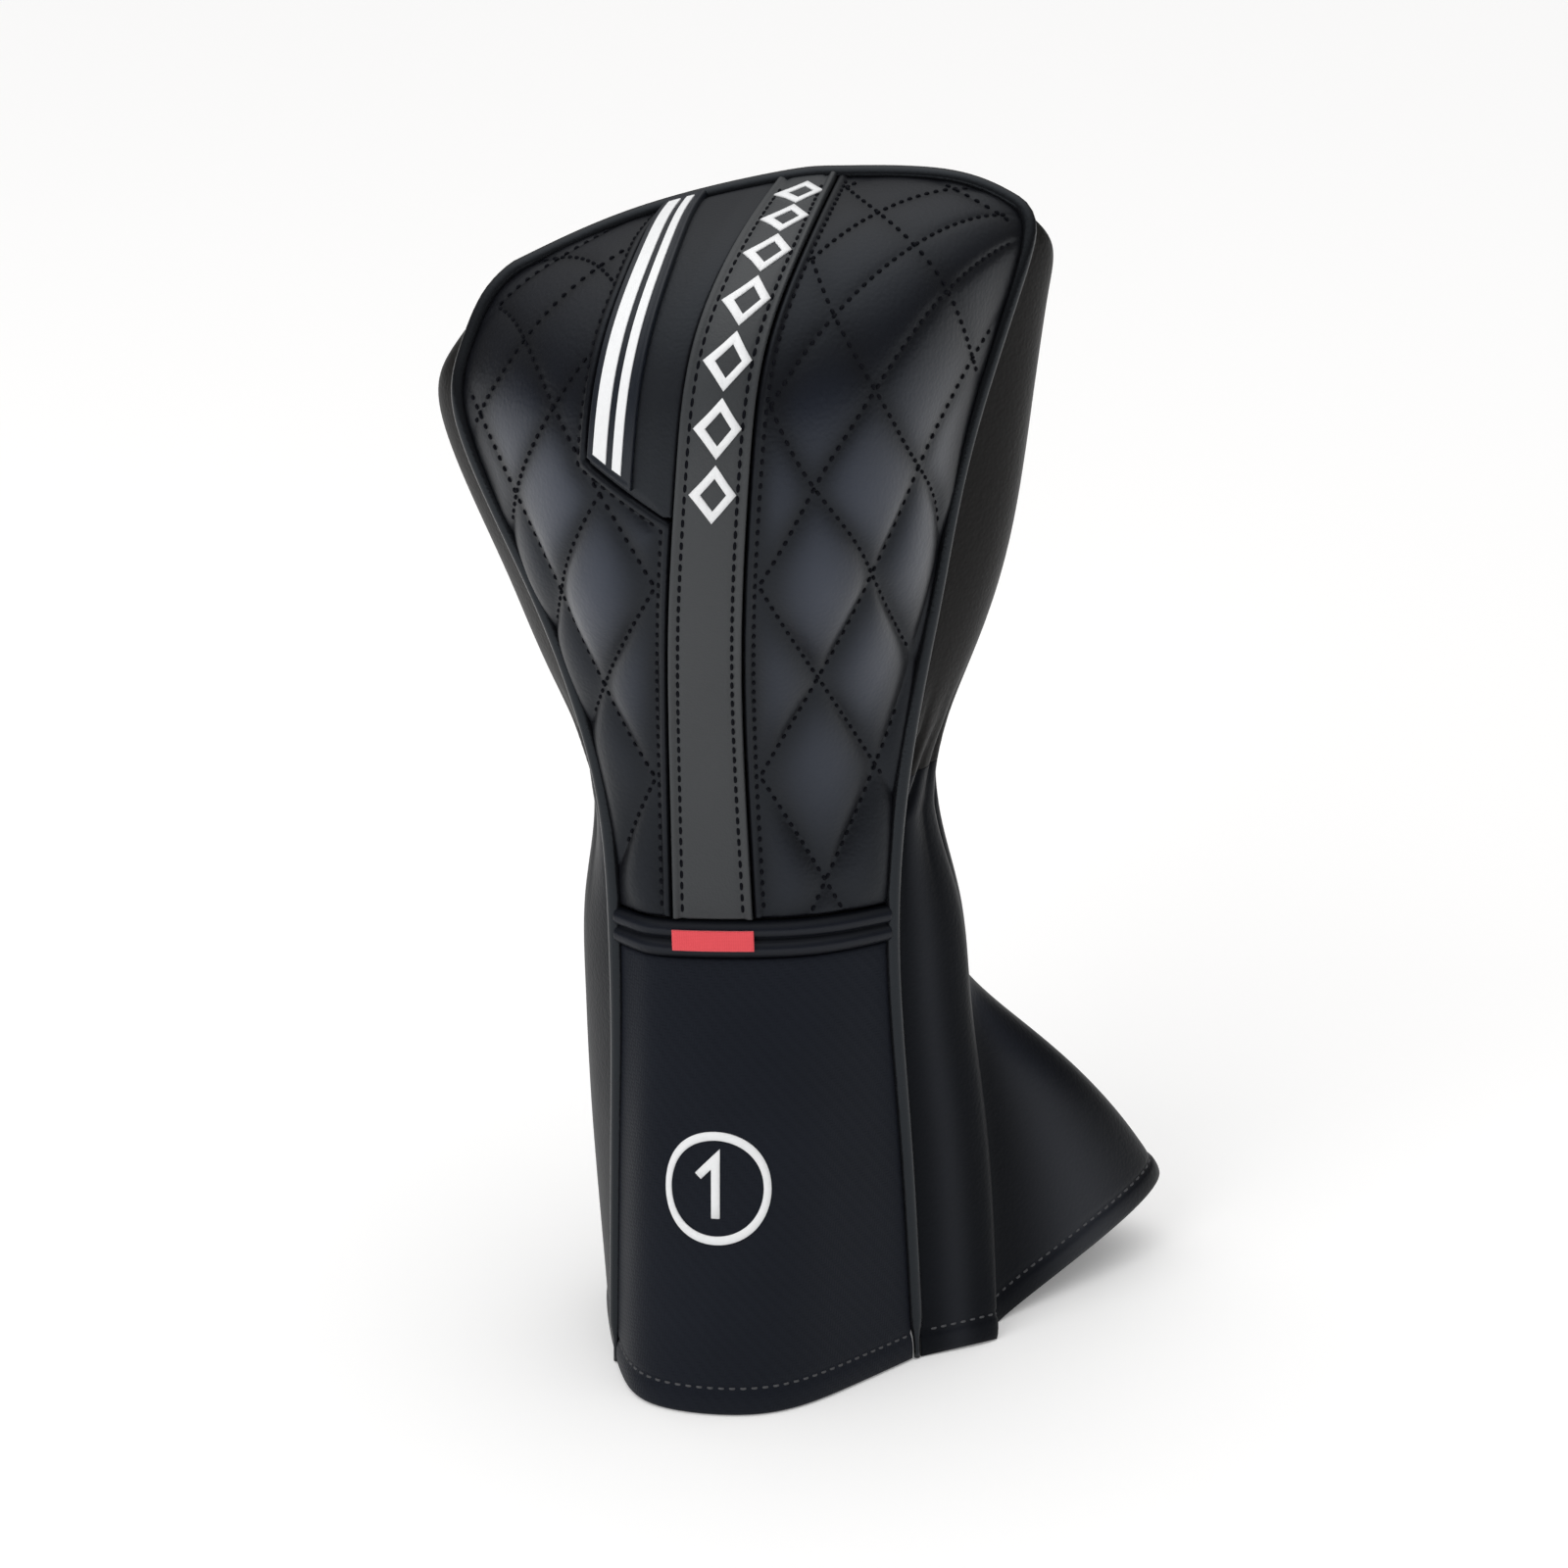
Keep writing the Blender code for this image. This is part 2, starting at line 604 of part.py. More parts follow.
def build_padding():
    low = HEAD_START + float(FRONT.up_by(BAND_MIDDLE, HEAD_START, PAD_INSET))
    top = ridge_edge(FRONT, LAYER_INSET)
    inner = -UNDER_SKIN - FOAM
    layer("foam_pad_right", FRONT,
          line_edge(FRONT, BAND_RIGHT, PAD_INSET), seam_edge(FRONT, 1, LAYER_INSET),
          low, top, (9, 18), inner, -UNDER_SKIN, "padding_foam")
    layer("foam_pad_left", FRONT, seam_edge(FRONT, 0, LAYER_INSET), emblem_edge(PAD_INSET),
          low, top, (7, 8, 4, 10), inner, -UNDER_SKIN, "padding_foam", breaks=FOOT_BREAKS)


# Centre band and the emblem panel beside it

def band_depth(u, v):
    """The band lies flat, with its two long edges folded under and standing a little proud."""
    share = np.abs(u - BAND_MIDDLE) / (BAND_RIGHT - BAND_LEFT) * 2
    return BAND_FLAT + BAND_RIM * easing(share, BAND_RIM_START, BAND_RIM_FULL)


def build_band():
    layer("center_band", FRONT, line_edge(FRONT, BAND_LEFT, 0), line_edge(FRONT, BAND_RIGHT, 0),
          HEAD_START, SKIN_TOP, (8, 36), -LEATHER, band_depth, "band_leather", coarse=2)
    lozenge = ((0, -LOZENGE_HALF_LENGTH), (LOZENGE_HALF_WIDTH, 0),
               (0, LOZENGE_HALF_LENGTH), (-LOZENGE_HALF_WIDTH, 0))
    last = BAND_LENGTH[-1] - SEAM_INSET - LOZENGE_CLEARANCE - LOZENGE_HALF_LENGTH
    count = 1 + int((last - LOZENGE_FIRST) / LOZENGE_PITCH)
    for i in range(count):
        centre = (BAND_MIDDLE, float(v_above_neck(LOZENGE_FIRST + i * LOZENGE_PITCH)))
        printed_mark(f"band_mark_{i + 1}", FRONT, centre, lozenge, LOZENGE_STROKE, BAND_FLAT, True)


def build_emblem():
    tip = float(v_above_neck(PATCH_FOOT_LOW + EMBLEM_TIP))
    layer("emblem_panel", FRONT, emblem_edge(0), line_edge(FRONT, BAND_LEFT, -GAP),
          tip, SKIN_TOP, (6, 4, 16), -LEATHER, BAND_FLAT, "quilt_leather", breaks=FOOT_BREAKS[1:])

    def patch_edge(inward):
        """Line beside the outer edge of the patch, moved in towards the band by a share of its width."""
        def edge(v):
            up = length_above_neck(v)
            taper = easing(up, PATCH_FLARE_START, BAND_LENGTH[-1])
            width = PATCH_WIDTH + (PATCH_TOP_WIDTH - PATCH_WIDTH) * taper
            return FRONT.u_at(BAND_LEFT, v, inward * width + PATCH_MARGIN - patch_reach(up))
        return edge

    def foot(lift):
        """Lower edge parallel to the foot of the panel and above it by lift, as a function of u."""
        line = np.linspace(PATCH_FOOT_LOW, PATCH_FOOT_HIGH, FOOT_STEPS + 1)
        edge = emblem_edge(0)(v_above_neck(line))
        return lambda u: v_above_neck(np.interp(-u, -edge, line) + lift)

    low = BAND_FLAT + PRINT_GAP
    high = low + PATCH_THICKNESS
    patch_top = ridge_edge(FRONT, SEAM_INSET + PATCH_MARGIN)
    layer("emblem_patch", FRONT, patch_edge(0), patch_edge(1),
          foot(PATCH_LIFT), patch_top, (3, 24), low, high, "patch_rubber")
    print_top = ridge_edge(FRONT, SEAM_INSET + PATCH_MARGIN + STRIPE_MARGIN)
    for name, (near, far) in (("emblem_stripe_outer", OUTER_STRIPE), ("emblem_stripe_inner", INNER_STRIPE)):
        layer(name, FRONT, patch_edge(near), patch_edge(far),
              foot(PATCH_LIFT + STRIPE_MARGIN), print_top, (1, 24),
              high + PRINT_GAP, high + PRINT_GAP + PRINT_THICKNESS, "white_print")


# Sleeve front, with its welt, tab and badge

def fold_breaks(sheet, u):
    """Places up a sheet where the turned-up hem ends, and where the panel is single again above it."""
    top = float(sheet.up_by(u, 0, HEM_FOLD_HEIGHT))
    return top, top + float(sheet.up_by(u, top, HEM_FOLD_STEP))


def hem_fold_depth(fold):
    """Inner depth of a panel whose hem is turned up inside it."""
    return lambda u, v: np.where(v <= fold[0], -HEM_FOLD_THICKNESS, -LEATHER)


FRONT_FOLD = fold_breaks(FRONT, BAND_MIDDLE)
BACK_FOLD = fold_breaks(BACK, REAR_MIDDLE)


def welt_depth(u, v):
    """Two rounded ribs, one above the other."""
    share = (v - WELT_LOW_V) / (WELT_TOP_V - WELT_LOW_V)
    return GAP + WELT_RIB * np.sqrt(np.abs(np.sin(2 * np.pi * share)))


def build_sleeve_front():
    gap_v = float(FRONT.up_by(BAND_MIDDLE, WELT_LOW_V, GAP))
    left = seam_edge(FRONT, 0, SEAM_INSET)
    right = seam_edge(FRONT, 1, SEAM_INSET)
    layer("lower_front_panel", FRONT, left, right, 0, WELT_LOW_V - gap_v, (16, 1, 1, 10),
          hem_fold_depth(FRONT_FOLD), 0, "sleeve_leather", breaks=FRONT_FOLD)
    layer("welt_band", FRONT, left, right, WELT_LOW_V, WELT_TOP_V, (14, 8), -LEATHER, welt_depth,
          "sleeve_leather", coarse=2)
    half = float(FRONT.up_by(BAND_MIDDLE, WELT_MIDDLE_V, TAB_HEIGHT / 2))
    low = WELT_RIB + 2 * GAP
    layer("red_tab", FRONT,
          line_edge(FRONT, BAND_MIDDLE, -TAB_WIDTH / 2), line_edge(FRONT, BAND_MIDDLE, TAB_WIDTH / 2),
          WELT_MIDDLE_V - half, WELT_MIDDLE_V + half, (6, 2), low, low + TAB_THICKNESS, "red_tab_cloth")
    angles = np.linspace(0, 2 * np.pi, BADGE_STEPS, endpoint=False)
    ring = np.stack([np.cos(angles), np.sin(angles)], axis=1) * (BADGE_RADIUS - BADGE_STROKE / 2)
    rise = NUMERAL_HEIGHT / 2
    numeral = ((-NUMERAL_FLAG, rise - NUMERAL_FLAG), (0, rise), (0, -rise))
    centre = (BAND_MIDDLE, v_at_height(FRONT, BAND_MIDDLE, BADGE_HEIGHT))
    printed_mark("badge_ring", FRONT, centre, ring, BADGE_STROKE, 0, True)
    printed_mark("badge_numeral", FRONT, centre, numeral, BADGE_STROKE, 0, False)


# Back of the head, its elastic and the linings

NECK_V = V_OF["neck"]
NECK_GAP_V = float(BACK.up_by(REAR_MIDDLE, NECK_V, GAP))
BACK_TOP = ridge_edge(BACK, SEAM_INSET)


def build_head_back():
    right = line_edge(BACK, SIDE_SEAM_RIGHT, -GAP)
    left = line_edge(BACK, SIDE_SEAM_LEFT, GAP)
    layer("side_panel_right", BACK, seam_edge(BACK, 0, SEAM_INSET), right, NECK_V, BACK_TOP, (5, 16),
          -LEATHER, 0, "sleeve_leather")
    layer("back_panel", BACK, line_edge(BACK, SIDE_SEAM_RIGHT, 0), line_edge(BACK, SIDE_SEAM_LEFT, 0),
          NECK_V, BACK_TOP, (18, 14), -LEATHER, 0, "sleeve_leather")
    layer("side_panel_left", BACK, left, seam_edge(BACK, 1, SEAM_INSET), NECK_V, BACK_TOP, (4, 16),
          -LEATHER, 0, "sleeve_leather")
    elastic_top = NECK_V + float(BACK.up_by(REAR_MIDDLE, NECK_V, ELASTIC_HEIGHT))
    under = UNDER_SKIN + LINING + LAYER_GAP
    layer("neck_elastic", BACK, seam_edge(BACK, 0, 2 * LAYER_INSET), seam_edge(BACK, 1, 2 * LAYER_INSET),
          NECK_V, elastic_top, (18, 2), -under - ELASTIC_THICKNESS, -under, "elastic_webbing")


def build_linings():
    left = seam_edge(FRONT, 0, LAYER_INSET)
    right = seam_edge(FRONT, 1, LAYER_INSET)
    layer("front_lining_head", FRONT, left, right, HEAD_START, ridge_edge(FRONT, LAYER_INSET), (14, 20),
          -UNDER_FOAM - LINING, -UNDER_FOAM, "lining_fleece")
    skirt_low = FRONT_FOLD[1] + float(FRONT.up_by(BAND_MIDDLE, FRONT_FOLD[1], LAYER_GAP))
    layer("front_lining_skirt", FRONT, left, right, skirt_low, WELT_TOP_V, (12, 8),
          -UNDER_SKIN - LINING, -UNDER_SKIN, "lining_fleece")
    layer("back_lining_head", BACK, seam_edge(BACK, 0, LAYER_INSET), seam_edge(BACK, 1, LAYER_INSET),
          NECK_V, ridge_edge(BACK, LAYER_INSET), (16, 12),
          -UNDER_SKIN - LINING, -UNDER_SKIN, "lining_fleece")


# Skirt: a gusset on each side, and the rear part that swings on the cloth below the neck

def build_skirt():
    top = NECK_V - NECK_GAP_V
    layer("skirt_side_right", BACK, seam_edge(BACK, 0, SEAM_INSET), line_edge(BACK, GUSSET_RIGHT, -GAP),
          0, top, (14, 1, 1, 12), hem_fold_depth(BACK_FOLD), 0, "sleeve_leather", breaks=BACK_FOLD)
    layer("skirt_side_left", BACK, line_edge(BACK, GUSSET_LEFT, GAP), seam_edge(BACK, 1, SEAM_INSET),
          0, top, (6, 1, 1, 10), hem_fold_depth(BACK_FOLD), 0, "sleeve_leather", breaks=BACK_FOLD)
    axis = BACK.raised(REAR_MIDDLE, NECK_V, -UNDER_SKIN - LINING)
    hinge = bpy.data.objects.new("rear_skirt_frame", None)
    bpy.context.collection.objects.link(hinge)
    hinge.parent = COVER
    hinge.location = (0, axis[1], axis[2])
    bpy.context.view_layer.update()

    def swing_edge(extra):
        """Upper edge of the rear skirt, lowered in front of the axis to make room as it swings in."""
        def edge(w):
            ahead = axis[1] - BACK.raised(w, NECK_V, -UNDER_SKIN - LINING)[:, 1]
            drop = 2 * GAP + extra + SWING_CLEARANCE * np.maximum(ahead, 0)
            return NECK_V - BACK.up_by(w, np.full_like(w, NECK_V), drop)
        return edge

    right = line_edge(BACK, GUSSET_RIGHT, 0)
    left = line_edge(BACK, GUSSET_LEFT, 0)
    layer("rear_skirt_panel", BACK, right, left, 0, swing_edge(0), (18, 1, 1, 10),
          hem_fold_depth(BACK_FOLD), 0, "sleeve_leather", breaks=BACK_FOLD, parent=hinge)
    low = BACK_FOLD[1] + float(BACK.up_by(REAR_MIDDLE, BACK_FOLD[1], LAYER_GAP))
    layer("rear_skirt_lining", BACK,
          line_edge(BACK, FLAP_CORNER, 0), line_edge(BACK, GUSSET_LEFT, -LAYER_INSET),
          low, swing_edge(LINING), (13, 10), -UNDER_SKIN - LINING, -UNDER_SKIN, "lining_fleece",
          parent=hinge)


# Piping along the whole seam, from the hem over the ridge and back down to the hem

def build_piping():
    start = float(FRONT.up_by(0, 0, GAP))
    v = np.linspace(start, 1, PIPING_SIDE_STEPS)
    u = np.linspace(0, 1, PIPING_RIDGE_STEPS + 2)[1:-1]
    left = FRONT.at(np.zeros_like(v), v)
    ridge = FRONT.at(u, np.ones_like(u))
    right = FRONT.at(np.ones_like(v), v)[::-1]
    path = np.concatenate([left, ridge, right])
    ahead = np.gradient(path, axis=0)
    ahead /= np.linalg.norm(ahead, axis=1, keepdims=True)
    side = np.array((0, -1, 0.0))
    angles = np.linspace(0, 2 * np.pi, PIPING_SIDES, endpoint=False)
    points = []
    for place, direction in zip(path, ahead):
        side = side - direction * np.dot(side, direction)
        side /= np.linalg.norm(side)
        other = np.cross(direction, side)
        ring = np.cos(angles)[:, None] * side + np.sin(angles)[:, None] * other
        points.append(place + ring * PIPING_RADIUS)
    points[0][:, 2] = path[0, 2]
    points[-1][:, 2] = path[-1, 2]
    faces = []
    for i in range(len(path) - 1):
        for j in range(PIPING_SIDES):
            k = (j + 1) % PIPING_SIDES
            a = i * PIPING_SIDES
            faces.append((a + j, a + k, a + PIPING_SIDES + k, a + PIPING_SIDES + j))
    last = (len(path) - 1) * PIPING_SIDES
    faces.append(tuple(range(PIPING_SIDES - 1, -1, -1)))
    faces.append(tuple(last + j for j in range(PIPING_SIDES)))
    add_piece("piping", np.concatenate(points), faces, "piping_leather")


build_quilts()
build_padding()
build_band()
build_emblem()
build_sleeve_front()
build_head_back()
build_linings()
build_skirt()
build_piping()
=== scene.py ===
"""Looks of a golf driver head cover: fleece, foam, quilted leather, sleeve, skirt, piping and stitching."""

import bpy
import numpy as np
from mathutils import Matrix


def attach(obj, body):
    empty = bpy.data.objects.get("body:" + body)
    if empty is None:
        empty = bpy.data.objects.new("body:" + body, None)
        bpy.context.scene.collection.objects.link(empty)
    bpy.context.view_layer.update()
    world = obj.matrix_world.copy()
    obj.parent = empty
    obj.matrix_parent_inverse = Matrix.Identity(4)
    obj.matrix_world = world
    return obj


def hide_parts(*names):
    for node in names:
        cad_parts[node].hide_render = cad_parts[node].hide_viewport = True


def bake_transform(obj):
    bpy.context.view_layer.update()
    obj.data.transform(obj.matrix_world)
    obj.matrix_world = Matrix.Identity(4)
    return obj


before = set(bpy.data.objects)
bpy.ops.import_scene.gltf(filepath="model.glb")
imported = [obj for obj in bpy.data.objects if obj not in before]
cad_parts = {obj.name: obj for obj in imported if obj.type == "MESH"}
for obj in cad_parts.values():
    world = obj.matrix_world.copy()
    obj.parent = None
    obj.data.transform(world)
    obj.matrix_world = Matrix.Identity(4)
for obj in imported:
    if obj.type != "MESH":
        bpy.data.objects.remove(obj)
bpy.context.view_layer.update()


# Fleece lining
# Brushed knit fleece, cut in four pieces for the front and back of the head and of the skirt.
# It is caught in the seams and shows in the mouth of the sleeve, where the club goes in.

MM = 0.001
MIDDLE = np.array([10.4, 17.8, 0])
BAND_LEFT = 0.34
BAND_RIGHT = 0.52
BAND_MIDDLE = (BAND_LEFT + BAND_RIGHT) / 2
FRONT_COLUMNS = (0, 0.16, BAND_LEFT, BAND_RIGHT, 0.76, 1)
BACK_COLUMNS = (0, 0.12, 0.22, 0.37, 0.56, 0.73, 0.89, 1)

# Cross-sections from hem to ridge, in millimetres: level, front points from the left seam to the right seam,
# then back points between the seams from right to left, each with z measured from the level.
SECTIONS = {
    "hem": (
        0,
        ((-47, -13, 0), (-42, -31, 0), (-29, -41.5, 0), (-7, -43.5, 0), (17, -29.5, 0), (37.5, -11, 0)),
        ((60.5, 0, 0), (61.5, 10, 0), (111.5, 59, 22.3), (36, 85, 4), (-26, 63, 0), (-50, 27, 0)),
    ),
    "shin": (
        72,
        ((-45.7, -11, 0), (-40, -24, 0), (-29, -31, 0), (-7, -33, 0), (15, -23.5, 0), (33, -10, 0)),
        ((55.5, 4, 0), (54, 17, 2), (74.5, 39, 3), (28, 74, 2), (-26, 60, 0), (-55, 26, 0)),
    ),
    "calf": (
        103,
        ((-45.2, -10.7, 0), (-39, -20, 0), (-29, -25.3, 0), (-7, -26.7, 0), (14, -20.4, 0), (30.5, -9.6, 0)),
        ((51, 5, 0), (49.5, 18, 0), (48.5, 35, 0), (19, 62, 0), (-24, 56, 0), (-55.5, 23, 0)),
    ),
    "welt": (
        131.5,
        ((-45.5, -10, 0), (-39, -16.5, 0), (-29.5, -20.5, 0), (-8, -21.5, 0), (13, -17.5, 0), (29.3, -9, 0)),
        ((47.5, 6, 0), (46, 20, 0), (37, 35, 0), (12, 52, 0), (-22, 50, 0), (-54.5, 20, 0)),
    ),
    "neck": (
        172,
        ((-49, -7, 0), (-41, -15, 0), (-30, -20, 0), (-10, -21, 0), (12, -17, 0), (31.6, -7, 0)),
        ((40, 6, 0), (40.5, 17, 0), (34, 31, 0), (9, 43, 0), (-22, 42, 0), (-52, 18, 0)),
    ),
    "jaw": (
        195,
        ((-55, -5, 0), (-44.4, -18.8, 0), (-30, -26.6, 0), (-10.7, -27.6, 0), (13, -21.8, 0), (35, -5, 0)),
        ((47, 9.5, 0), (49.5, 22.5, 0), (41, 40, 0), (11.5, 52, 0), (-25, 50, 0), (-62.5, 21, 0)),
    ),
    "cheek": (
        222,
        ((-65, -2, 0), (-50, -25.5, 0), (-29.5, -37.5, 0), (-10.7, -38.5, 0), (16, -30, 0), (40, -2, 0)),
        ((56, 14, 0), (59, 29, 0), (47, 49, 0), (14, 60, 0), (-28, 57, 0), (-73.5, 24, 0)),
    ),
    "belly": (
        268,
        ((-84, 5, 0), (-58, -31, 0), (-26.7, -47, 0), (-8.5, -48, 0), (24, -36, 0), (49.5, 4.5, 0)),
        ((64.5, 20, 0), (65.5, 35, 0), (50, 56, 0), (12, 66, 0), (-36, 62, 0), (-89.5, 27, 0)),
    ),
    "brow": (
        295,
        ((-82.5, 9.5, -10), (-56, -22, 0), (-22, -39.5, 4), (-3.8, -40, 4.5), (31, -26, 8), (60.3, 12.5, 7)),
        ((69.5, 25, 3), (68, 38, -1), (50, 56, -5), (11, 63.5, -6), (-35, 58, -8), (-83, 29, -10)),
    ),
    "dome": (
        314,
        ((-77.5, 13, -17.5), (-50, -4, -5), (-13, -18, 2.5), (5, -18, 4), (38, -5, 5), (63.6, 17, 0.5)),
        ((69.5, 27, -3), (65, 36, -5), (45, 48, -6), (10, 52.5, -7.5), (-30, 48, -11), (-70, 29, -15)),
    ),
    "ridge": (
        325,
        ((-70, 16, -20.5), (-38, 22, -7.5), (-1, 24, 1.5), (14, 24, 3), (42, 23, 2.3), (61, 20, -4.5)),
        ((52, 22, 0), (43, 23, 2.2), (24, 24, 3.4), (-4, 24, 1.2), (-29, 22.5, -5), (-53, 20, -13.5)),
    ),
}


def spline_weights(knots):
    """Weight of each knot's value in a natural cubic spline, as a function of places along it."""
    knots = np.asarray(knots, float)
    count = len(knots)
    step = np.diff(knots)
    system = np.eye(count)
    bends = np.zeros((count, count))
    for i in range(1, count - 1):
        before, after = step[i - 1], step[i]
        system[i, i - 1:i + 2] = before, 2 * (before + after), after
        bends[i, i - 1:i + 2] = 6 / before, -6 / before - 6 / after, 6 / after
    curl = np.linalg.solve(system, bends)
    value = np.eye(count)

    def weights(place):
        k = np.clip(np.searchsorted(knots, place, side="right") - 1, 0, count - 2)
        h = step[k][:, None]
        to_next = (knots[k + 1] - place)[:, None]
        gone = (place - knots[k])[:, None]
        low = (value[k] / h - curl[k] * h / 6) * to_next
        high = (value[k + 1] / h - curl[k + 1] * h / 6) * gone
        return low + high + (curl[k] * to_next ** 3 + curl[k + 1] * gone ** 3) / (6 * h)

    return weights


def lengths_along(path):
    """Length along a path of points, from its start to each of them."""
    return np.pad(np.cumsum(np.linalg.norm(np.diff(path, axis=0), axis=1)), (1, 0))


class Sheet:
    """A smooth surface through cross-sections, across in u and up in v, both from 0 to 1."""

    TABLE = np.linspace(0, 1, 241)
    STEP = 1e-4

    def __init__(self, net, columns, heights):
        self.net = net.reshape(-1, 3)
        self.across_weights = spline_weights(columns)
        self.up_weights = spline_weights(heights)
        rows = self.at(self.TABLE[None, :], self.TABLE[:, None])
        steps = np.linalg.norm(np.diff(rows, axis=1), axis=2)
        self.lengths = np.pad(np.cumsum(steps, axis=1), ((0, 0), (1, 0)))

    def at(self, u, v):
        u, v = np.broadcast_arrays(np.asarray(u, float), np.asarray(v, float))
        weights = self.up_weights(v.ravel())[:, :, None] * self.across_weights(u.ravel())[:, None, :]
        return (weights.reshape(u.size, -1) @ self.net).reshape(u.shape + (3,))

    def slopes(self, u, v):
        across = (self.at(u + self.STEP, v) - self.at(u - self.STEP, v)) / (2 * self.STEP)
        upward = (self.at(u, v + self.STEP) - self.at(u, v - self.STEP)) / (2 * self.STEP)
        return across, upward

    def normal(self, u, v):
        normal = np.cross(*self.slopes(u, v))
        return normal / np.linalg.norm(normal, axis=-1, keepdims=True)

    def raised(self, u, v, depth):
        """Points of the surface moved out along its normal by depth."""
        u, v = np.broadcast_arrays(np.asarray(u, float), np.asarray(v, float))
        return self.at(u, v) + self.normal(u, v) * np.broadcast_to(depth, u.shape)[..., None]

    def across_by(self, u, v, length):
        """Share of u that a length across the surface takes."""
        return length / np.linalg.norm(self.slopes(u, v)[0], axis=-1)

    def up_by(self, u, v, length):
        """Share of v that a length up the surface takes."""
        return length / np.linalg.norm(self.slopes(u, v)[1], axis=-1)

    def rows_near(self, v):
        """The rows of the length table on both sides of v, and the share of the upper one."""
        last = len(self.TABLE) - 1
        row = np.clip((v * last).astype(int), 0, last - 1)
        return row, v * last - row

    def reach(self, u, v):
        """Length across the surface from u = 0 to u, at v."""
        u, v = np.broadcast_arrays(np.asarray(u, float), np.asarray(v, float))
        last = len(self.TABLE) - 1
        row, upper = self.rows_near(v)
        column = np.clip((u * last).astype(int), 0, last - 1)
        right = u * last - column
        table = self.lengths
        low = table[row, column] * (1 - right) + table[row, column + 1] * right
        high = table[row + 1, column] * (1 - right) + table[row + 1, column + 1] * right
        return low * (1 - upper) + high * upper

    def u_at(self, v, length):
        """The u that lies a length across the surface from u = 0, at each v."""
        row, upper = self.rows_near(v)
        found = np.empty(len(v))
        for i, (k, share) in enumerate(zip(row, upper)):
            line = self.lengths[k] * (1 - share) + self.lengths[k + 1] * share
            found[i] = np.interp(length[i], line, self.TABLE)
        return found


def section_nets():
    """Front and back nets of points in metres, with the back closed onto the two seams."""
    front = []
    back = []
    for level, before, behind in SECTIONS.values():
        lift = np.array([0, 0, level]) - MIDDLE
        front.append((np.array(before) + lift) * MM)
        back.append((np.array((before[-1],) + behind + (before[0],)) + lift) * MM)
    return np.array(front), np.array(back)


front_net, back_net = section_nets()
rises = np.linalg.norm(np.diff(front_net, axis=0), axis=-1).mean(axis=1)
heights = np.pad(np.cumsum(rises), (1, 0)) / rises.sum()
v_of = dict(zip(SECTIONS, heights))
FRONT = Sheet(front_net, FRONT_COLUMNS, heights)
BACK = Sheet(back_net, BACK_COLUMNS, heights)
band_v = np.linspace(0, 1, 401)
band_rows = FRONT.at(BAND_MIDDLE, band_v)
band_length = lengths_along(band_rows)
band_length -= np.interp(v_of["neck"], band_v, band_length)


def v_above_neck(length):
    """The v at a length up the middle of the band, measured from the neck."""
    return np.interp(length, band_length, band_v)


def length_above_neck(v):
    return np.interp(v, band_v, band_length)


def ridge_edge(sheet, inset):
    """Panel end that keeps an inset from the ridge, as a function of u."""
    def edge(u):
        across, upward = sheet.slopes(u, np.ones_like(u))
        speed = np.linalg.norm(np.cross(across, upward), axis=-1) / np.linalg.norm(across, axis=-1)
        return 1 - inset / speed
    return edge


def seam_edge(sheet, side, inset):
    """Panel side that keeps an inset from the piped seam at u = side, as a function of v."""
    def edge(v):
        across, upward = sheet.slopes(np.full_like(v, side), v)
        speed = np.linalg.norm(np.cross(across, upward), axis=-1) / np.linalg.norm(upward, axis=-1)
        return side + (1 - 2 * side) * inset / speed
    return edge


def both_seams(sheet, inset):
    """The two sides of a panel that runs from one piped seam to the other."""
    return seam_edge(sheet, 0, inset), seam_edge(sheet, 1, inset)


def line_edge(sheet, u, offset):
    """Panel side along a line of constant u, moved across the surface by an offset."""
    return lambda v: u + sheet.across_by(np.full_like(v, u), v, offset)


ROLL_STEPS = np.array([0, 0.08, 0.3, 0.6])


def shares(length, spacing, roll):
    """Shares of the way along a length: even steps, with closer ones over a rolled edge at each end."""
    close = roll * ROLL_STEPS
    count = max(2, int(np.ceil((length - 2 * roll) / spacing)))
    middle = np.linspace(roll, length - roll, count + 1)
    return np.concatenate([close, middle, length - close[::-1]]) / length


def end_row(end, sides, s):
    """The v of a panel's end at shares s of its width, where end is a number or a function of u."""
    if not callable(end):
        return np.full_like(s, end)
    v = end(s)
    for _ in range(4):
        v = end(sides[0](v) * (1 - s) + sides[1](v) * s)
    return v


def cut_panel(sheet, sides, ends, spacing, roll):
    """Grid of u and v over a panel, between its two sides and its two ends."""
    probe = np.linspace(0, 1, 41)
    v = end_row(ends[0], sides, probe) * (1 - probe) + end_row(ends[1], sides, probe) * probe
    width = (sheet.reach(sides[1](v), v) - sheet.reach(sides[0](v), v)).max()
    line = sheet.at((sides[0](v) + sides[1](v)) / 2, v)
    height = np.linalg.norm(np.diff(line, axis=0), axis=1).sum()
    s = shares(width, spacing, roll)
    t = shares(height, spacing, roll)[:, None]
    v = end_row(ends[0], sides, s) * (1 - t) + end_row(ends[1], sides, s) * t
    low, high = (side(v.ravel()).reshape(v.shape) for side in sides)
    return low * (1 - s) + high * s, v


